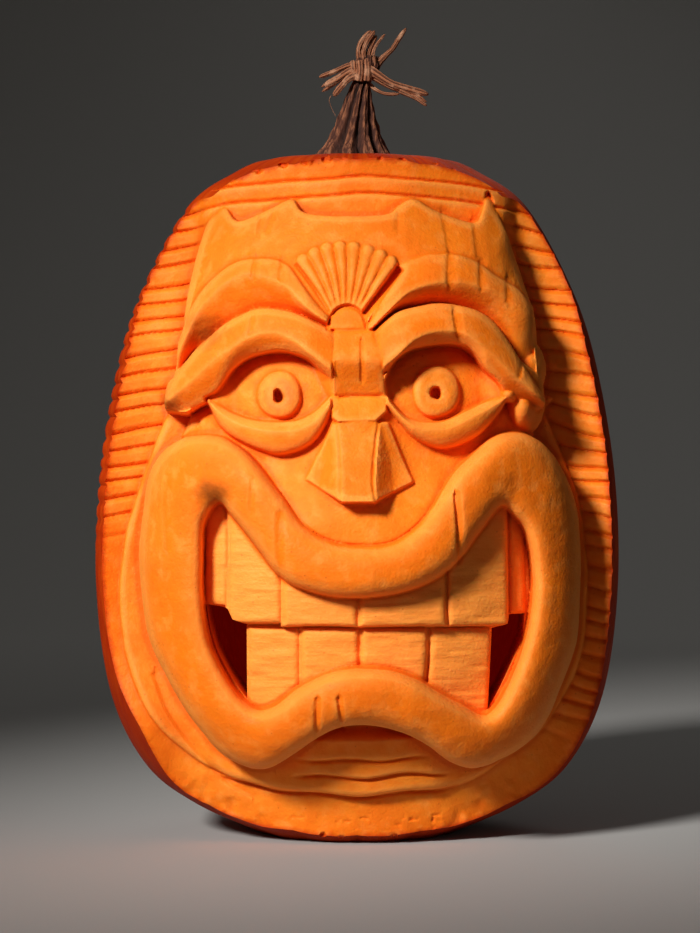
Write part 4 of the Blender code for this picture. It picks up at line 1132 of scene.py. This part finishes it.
def scraped_wall():
    """The wall of the hollow, scraped with a spoon: stringy, moist and a duller orange.

    A faint dark red glow is painted on it, for light that soaks through the flesh.
    """
    # painted light: a faint red glow
    made, tree, shader, place = start_material("pumpkin pulp, spoon-scraped", {
        "Base Color": PULP, "Roughness": 0.5, "IOR": 1.4,
        "Emission Color": GLOW, "Emission Strength": 0.02})
    # strings 2.5 mm thick and eight times as long
    upright = node(tree, "ShaderNodeMapping", {"Vector": place, "Scale": (1, 1, 1 / 8)})
    strings = node(tree, "ShaderNodeTexNoise", {"Vector": upright.outputs["Vector"],
                                                "Scale": 1 / (2.5 * MM), "Detail": 4.0})
    strings = strings.outputs["Fac"]
    colour = lay_colours(tree, PULP, [(strings, 0.35, 0.7, 1.0, PULP_STRING)])
    bump = node(tree, "ShaderNodeBump", {"Height": strings, "Distance": 1.2 * MM})
    fill_sockets(tree, shader, {"Base Color": colour, "Normal": bump.outputs["Normal"]})
    return made


def dried_stalk():
    """Dried, corky, cracked pumpkin stalk: tan ribs, near-black grooves, partly painted highlight
    and shade.
    """
    made, tree, shader, place = start_material(
        "pumpkin stalk, dried and corky", {"Base Color": STALK, "Roughness": 0.82, "IOR": 1.4})
    ridge = node(tree, "ShaderNodeAttribute", attribute_name="ridge").outputs["Fac"]
    # cork streaks 1.6 mm wide and nine times as long, with dark spots and grit
    upright = node(tree, "ShaderNodeMapping", {"Vector": place, "Scale": (1, 1, 1 / 9)})
    streak = node(tree, "ShaderNodeTexNoise", {"Vector": upright.outputs["Vector"],
                                               "Scale": 1 / (1.6 * MM), "Detail": 4.0})
    streak = streak.outputs["Fac"]
    spot, grit = [
        node(tree, "ShaderNodeTexNoise", {"Vector": place, "Scale": 1 / (size * MM), "Detail": 2.0})
        .outputs["Fac"] for size in (5, 0.9)]
    worn = node(tree, "ShaderNodeMath", {0: ridge, 1: streak}, operation="ADD").outputs[0]
    dry = node(tree, "ShaderNodeMath", {0: ridge, 1: streak}, operation="MULTIPLY").outputs[0]
    # partly painted light: tan on the ribs is partly a painted highlight, near black between them
    # partly painted shade
    colour = lay_colours(tree, STALK_GROOVE, [
        (worn, 0.7, 1.3, 1.0, STALK), (dry, 0.4, 0.62, 0.9, STALK_TAN),
        (spot, 0.6, 0.75, 0.6, STALK_GROOVE)])
    height = node(tree, "ShaderNodeMath", {0: grit, 1: 0.5, 2: streak}, operation="MULTIPLY_ADD")
    bump = node(tree, "ShaderNodeBump", {"Height": height.outputs[0], "Distance": 0.9 * MM})
    fill_sockets(tree, shader, {"Base Color": colour, "Normal": bump.outputs["Normal"]})
    return made


def torn_fibres():
    """Pumpkin stalk fibres, torn and dried: stringy and tan, browner in the folds, partly painted
    shade.
    """
    made, tree, shader, place = start_material(
        "pumpkin stalk fibres, torn", {"Base Color": FIBRE_TAN, "Roughness": 0.8, "IOR": 1.4})
    ridge = node(tree, "ShaderNodeAttribute", attribute_name="ridge").outputs["Fac"]
    # mm: paler patches, and the grit of single fibres, which are finer, drawn coarse so as to show
    patch, grit = [
        node(tree, "ShaderNodeTexNoise", {"Vector": place, "Scale": 1 / (size * MM), "Detail": 3.0})
        .outputs["Fac"] for size in (6, 0.7)]
    # partly painted shade: brown in the folds of the strands
    colour = lay_colours(tree, FIBRE_BROWN, [(ridge, 0.1, 0.8, 1.0, FIBRE_TAN),
                                             (patch, 0.5, 0.75, 0.7, FIBRE_PALE)])
    bump = node(tree, "ShaderNodeBump", {"Height": grit, "Distance": 0.4 * MM})
    fill_sockets(tree, shader, {"Base Color": colour, "Normal": bump.outputs["Normal"]})
    return made


# ---- the stem -----------------------------------------------------------------------------------
def build_stalk():
    """The ribbed stalk, its ribs parting like roots over the dimple."""
    rng = np.random.default_rng(7)
    heavy = rng.uniform(0.75, 1.2, STEM_RIBS)
    profile = smooth_line([(r, z) for r, z, _ in STEM_PROFILE], per_span=6)
    lean = np.interp(profile[:, 1], [z for _, z, _ in STEM_PROFILE], [d for _, _, d in STEM_PROFILE])
    angle = full_turn(STALK_SIDES)
    points, ridges = [], []
    for (radius, height), side in zip(profile, lean):
        turn = angle / (2 * math.pi) * STEM_RIBS + 0.35 * math.sin(height / 16)
        rib = np.abs(np.cos(math.pi * turn)) ** 0.7
        weight = heavy[np.round(turn).astype(int) % STEM_RIBS]
        fine = 0.5 + 0.5 * np.cos(2 * math.pi * turn * 3 + 1.3 * np.sin(height / 9))
        deep = 0.34 if height < KNOT_FOOT else 0.16      # the grooves are shallow in the knot
        r = radius * (1.03 - deep * weight * (1 - rib) - 0.09 * fine)
        r = r + 0.25 * np.sin(5 * angle + height / 2.1) + 0.2 * np.sin(13 * angle - height / 1.3)
        points.append(level_ring(side + r * np.sin(angle), -r * np.cos(angle), height))
        ridges.append(0.8 * rib + 0.3 * (1 - fine))
    stalk = add_mesh("stalk", np.vstack(points), ring_faces(len(points), STALK_SIDES))
    mark(stalk.data, "ridge", np.concatenate(ridges))
    stalk.data.shade_smooth()
    finish_piece(stalk, dried_stalk(), "stem")


def along_route(route, count):
    """Points spaced along a rounded route through a few points in space."""
    route = np.array(route, float)
    ends = np.vstack([2 * route[0] - route[1], route, 2 * route[-1] - route[-2]])
    place = np.linspace(0, len(route) - 1.0001, count)
    i, u = place.astype(int), (place % 1)[:, None]
    a, b, c, d = ends[i], ends[i + 1], ends[i + 2], ends[i + 3]
    return 0.5 * (2 * b + (c - a) * u + (2 * a - 5 * b + 4 * c - d) * u ** 2
                  + (3 * b - a - 3 * c + d) * u ** 3)


def strand(route, width, thick, taper, rng):
    """A torn strand: a flat, grooved ribbon of stalk that narrows to a ragged tip."""
    rings = 7 * len(route)
    line = along_route(route, rings)
    along = np.gradient(line, axis=0)
    along /= np.linalg.norm(along, axis=1)[:, None]
    across = np.cross(along, (0, 1, 0.15))
    across /= np.linalg.norm(across, axis=1)[:, None]
    beside = np.cross(along, across)
    angle = full_turn(STRAND_SIDES)
    groove = 1 - 0.28 * (0.5 + 0.5 * np.cos(rng.integers(4, 7) * angle + rng.uniform(0, 6)))
    points, ridges = [], []
    for i, centre in enumerate(line):
        t = i / (rings - 1)
        grow = (1 - t) + taper * t
        tip = math.sqrt(max(1 - max((t - 0.88) / 0.125, 0) ** 2, 0.02))
        w, h = width * grow * tip, thick * grow * tip
        wave = 1 + 0.10 * math.sin(9 * t + rng.uniform(0, 0.6))
        swing = (np.outer(np.cos(angle) * groove * w * wave, across[i])
                 + np.outer(np.sin(angle) * groove * h, beside[i]))
        points.append(centre + swing)
        ridges.append((groove - 0.72) / 0.28)
    return np.vstack(points), ring_faces(rings, STRAND_SIDES), np.concatenate(ridges)


def build_fibres():
    """The frayed end of the stalk: bunches of strands torn left, up and right."""
    rng = np.random.default_rng(11)
    finish = torn_fibres()
    for name, strands in FIBRE_BUNCHES.items():
        points, faces, ridges = [], [], []
        for route, width, thick, taper in strands:
            p, f, r = strand(route, width, thick, taper, rng)
            start = sum(len(q) for q in points)
            points.append(p)
            faces += [tuple(v + start for v in face) for face in f]
            ridges.append(r)
        bunch = add_mesh(name, np.vstack(points), faces)
        mark(bunch.data, "ridge", np.concatenate(ridges))
        bunch.data.shade_smooth()
        finish_piece(bunch, finish, "stem")


# ---- floor, light and camera --------------------------------------------------------------------
def set_stage():
    """A plain pale floor that sweeps up behind into a wall, and a faint even sky."""
    bend = np.radians(np.linspace(-90, 0, SWEEP_RINGS))
    line = [(FLOOR_FRONT, 0)]
    line += [(SWEEP_START + SWEEP_RADIUS * math.cos(a), SWEEP_RADIUS + SWEEP_RADIUS * math.sin(a))
             for a in bend]
    line.append((SWEEP_START + SWEEP_RADIUS, WALL_TOP))
    points = [(x, y, z) for y, z in line for x in (-FLOOR_HALF_WIDTH, FLOOR_HALF_WIDTH)]
    faces = [(2 * i, 2 * i + 1, 2 * i + 3, 2 * i + 2) for i in range(len(line) - 1)]
    floor = add_mesh("floor", points, faces)
    floor.data.shade_smooth()
    sockets = {"Base Color": FLOOR_PAINT, "Roughness": 0.9}
    floor.data.materials.append(start_material("painted board, matt", sockets)[0])
    world = bpy.data.worlds.new("studio")
    world.use_nodes = True
    fill_sockets(world.node_tree, world.node_tree.nodes["Background"],
                 {"Color": SKY, "Strength": SKY_STRENGTH})
    bpy.context.scene.world = world


def aim(data, place, at):
    """Put a lamp or camera at a place and point it."""
    made = bpy.data.objects.new(data.name, data)
    made.location = place
    made.rotation_euler = (Vector(at) - Vector(place)).to_track_quat("-Z", "Y").to_euler()
    bpy.context.scene.collection.objects.link(made)
    return made


def light_scene():
    """A soft key from the upper left, narrowed so that little of it strikes the floor; fills."""
    key = bpy.data.lights.new("key", "SPOT")
    key.energy = KEY_POWER
    key.spot_size = math.radians(KEY_CONE)
    key.spot_blend = KEY_EDGE
    key.shadow_soft_size = KEY_SIZE
    aim(key, KEY_PLACE, KEY_AIM)
    for name, place, power in SOFT_LAMPS:
        lamp = bpy.data.lights.new(name, "AREA")
        lamp.size = SOFT_LAMP_SIZE
        lamp.energy = power
        aim(lamp, place, SOFT_LAMP_AIM)


def set_camera():
    """A long lens in front of the mask, looking level at the middle of its height."""
    data = bpy.data.cameras.new("camera")
    data.lens = CAMERA_LENS
    data.sensor_width = CAMERA_WIDTH
    data.clip_end = CAMERA_SIGHT
    side, _, up = CAMERA_PLACE
    bpy.context.scene.camera = aim(data, CAMERA_PLACE, (side, 0, up))
    bpy.context.scene.view_settings.view_transform = "Standard"


set_camera()
build_fruit()
build_stalk()
build_fibres()
set_stage()
light_scene()
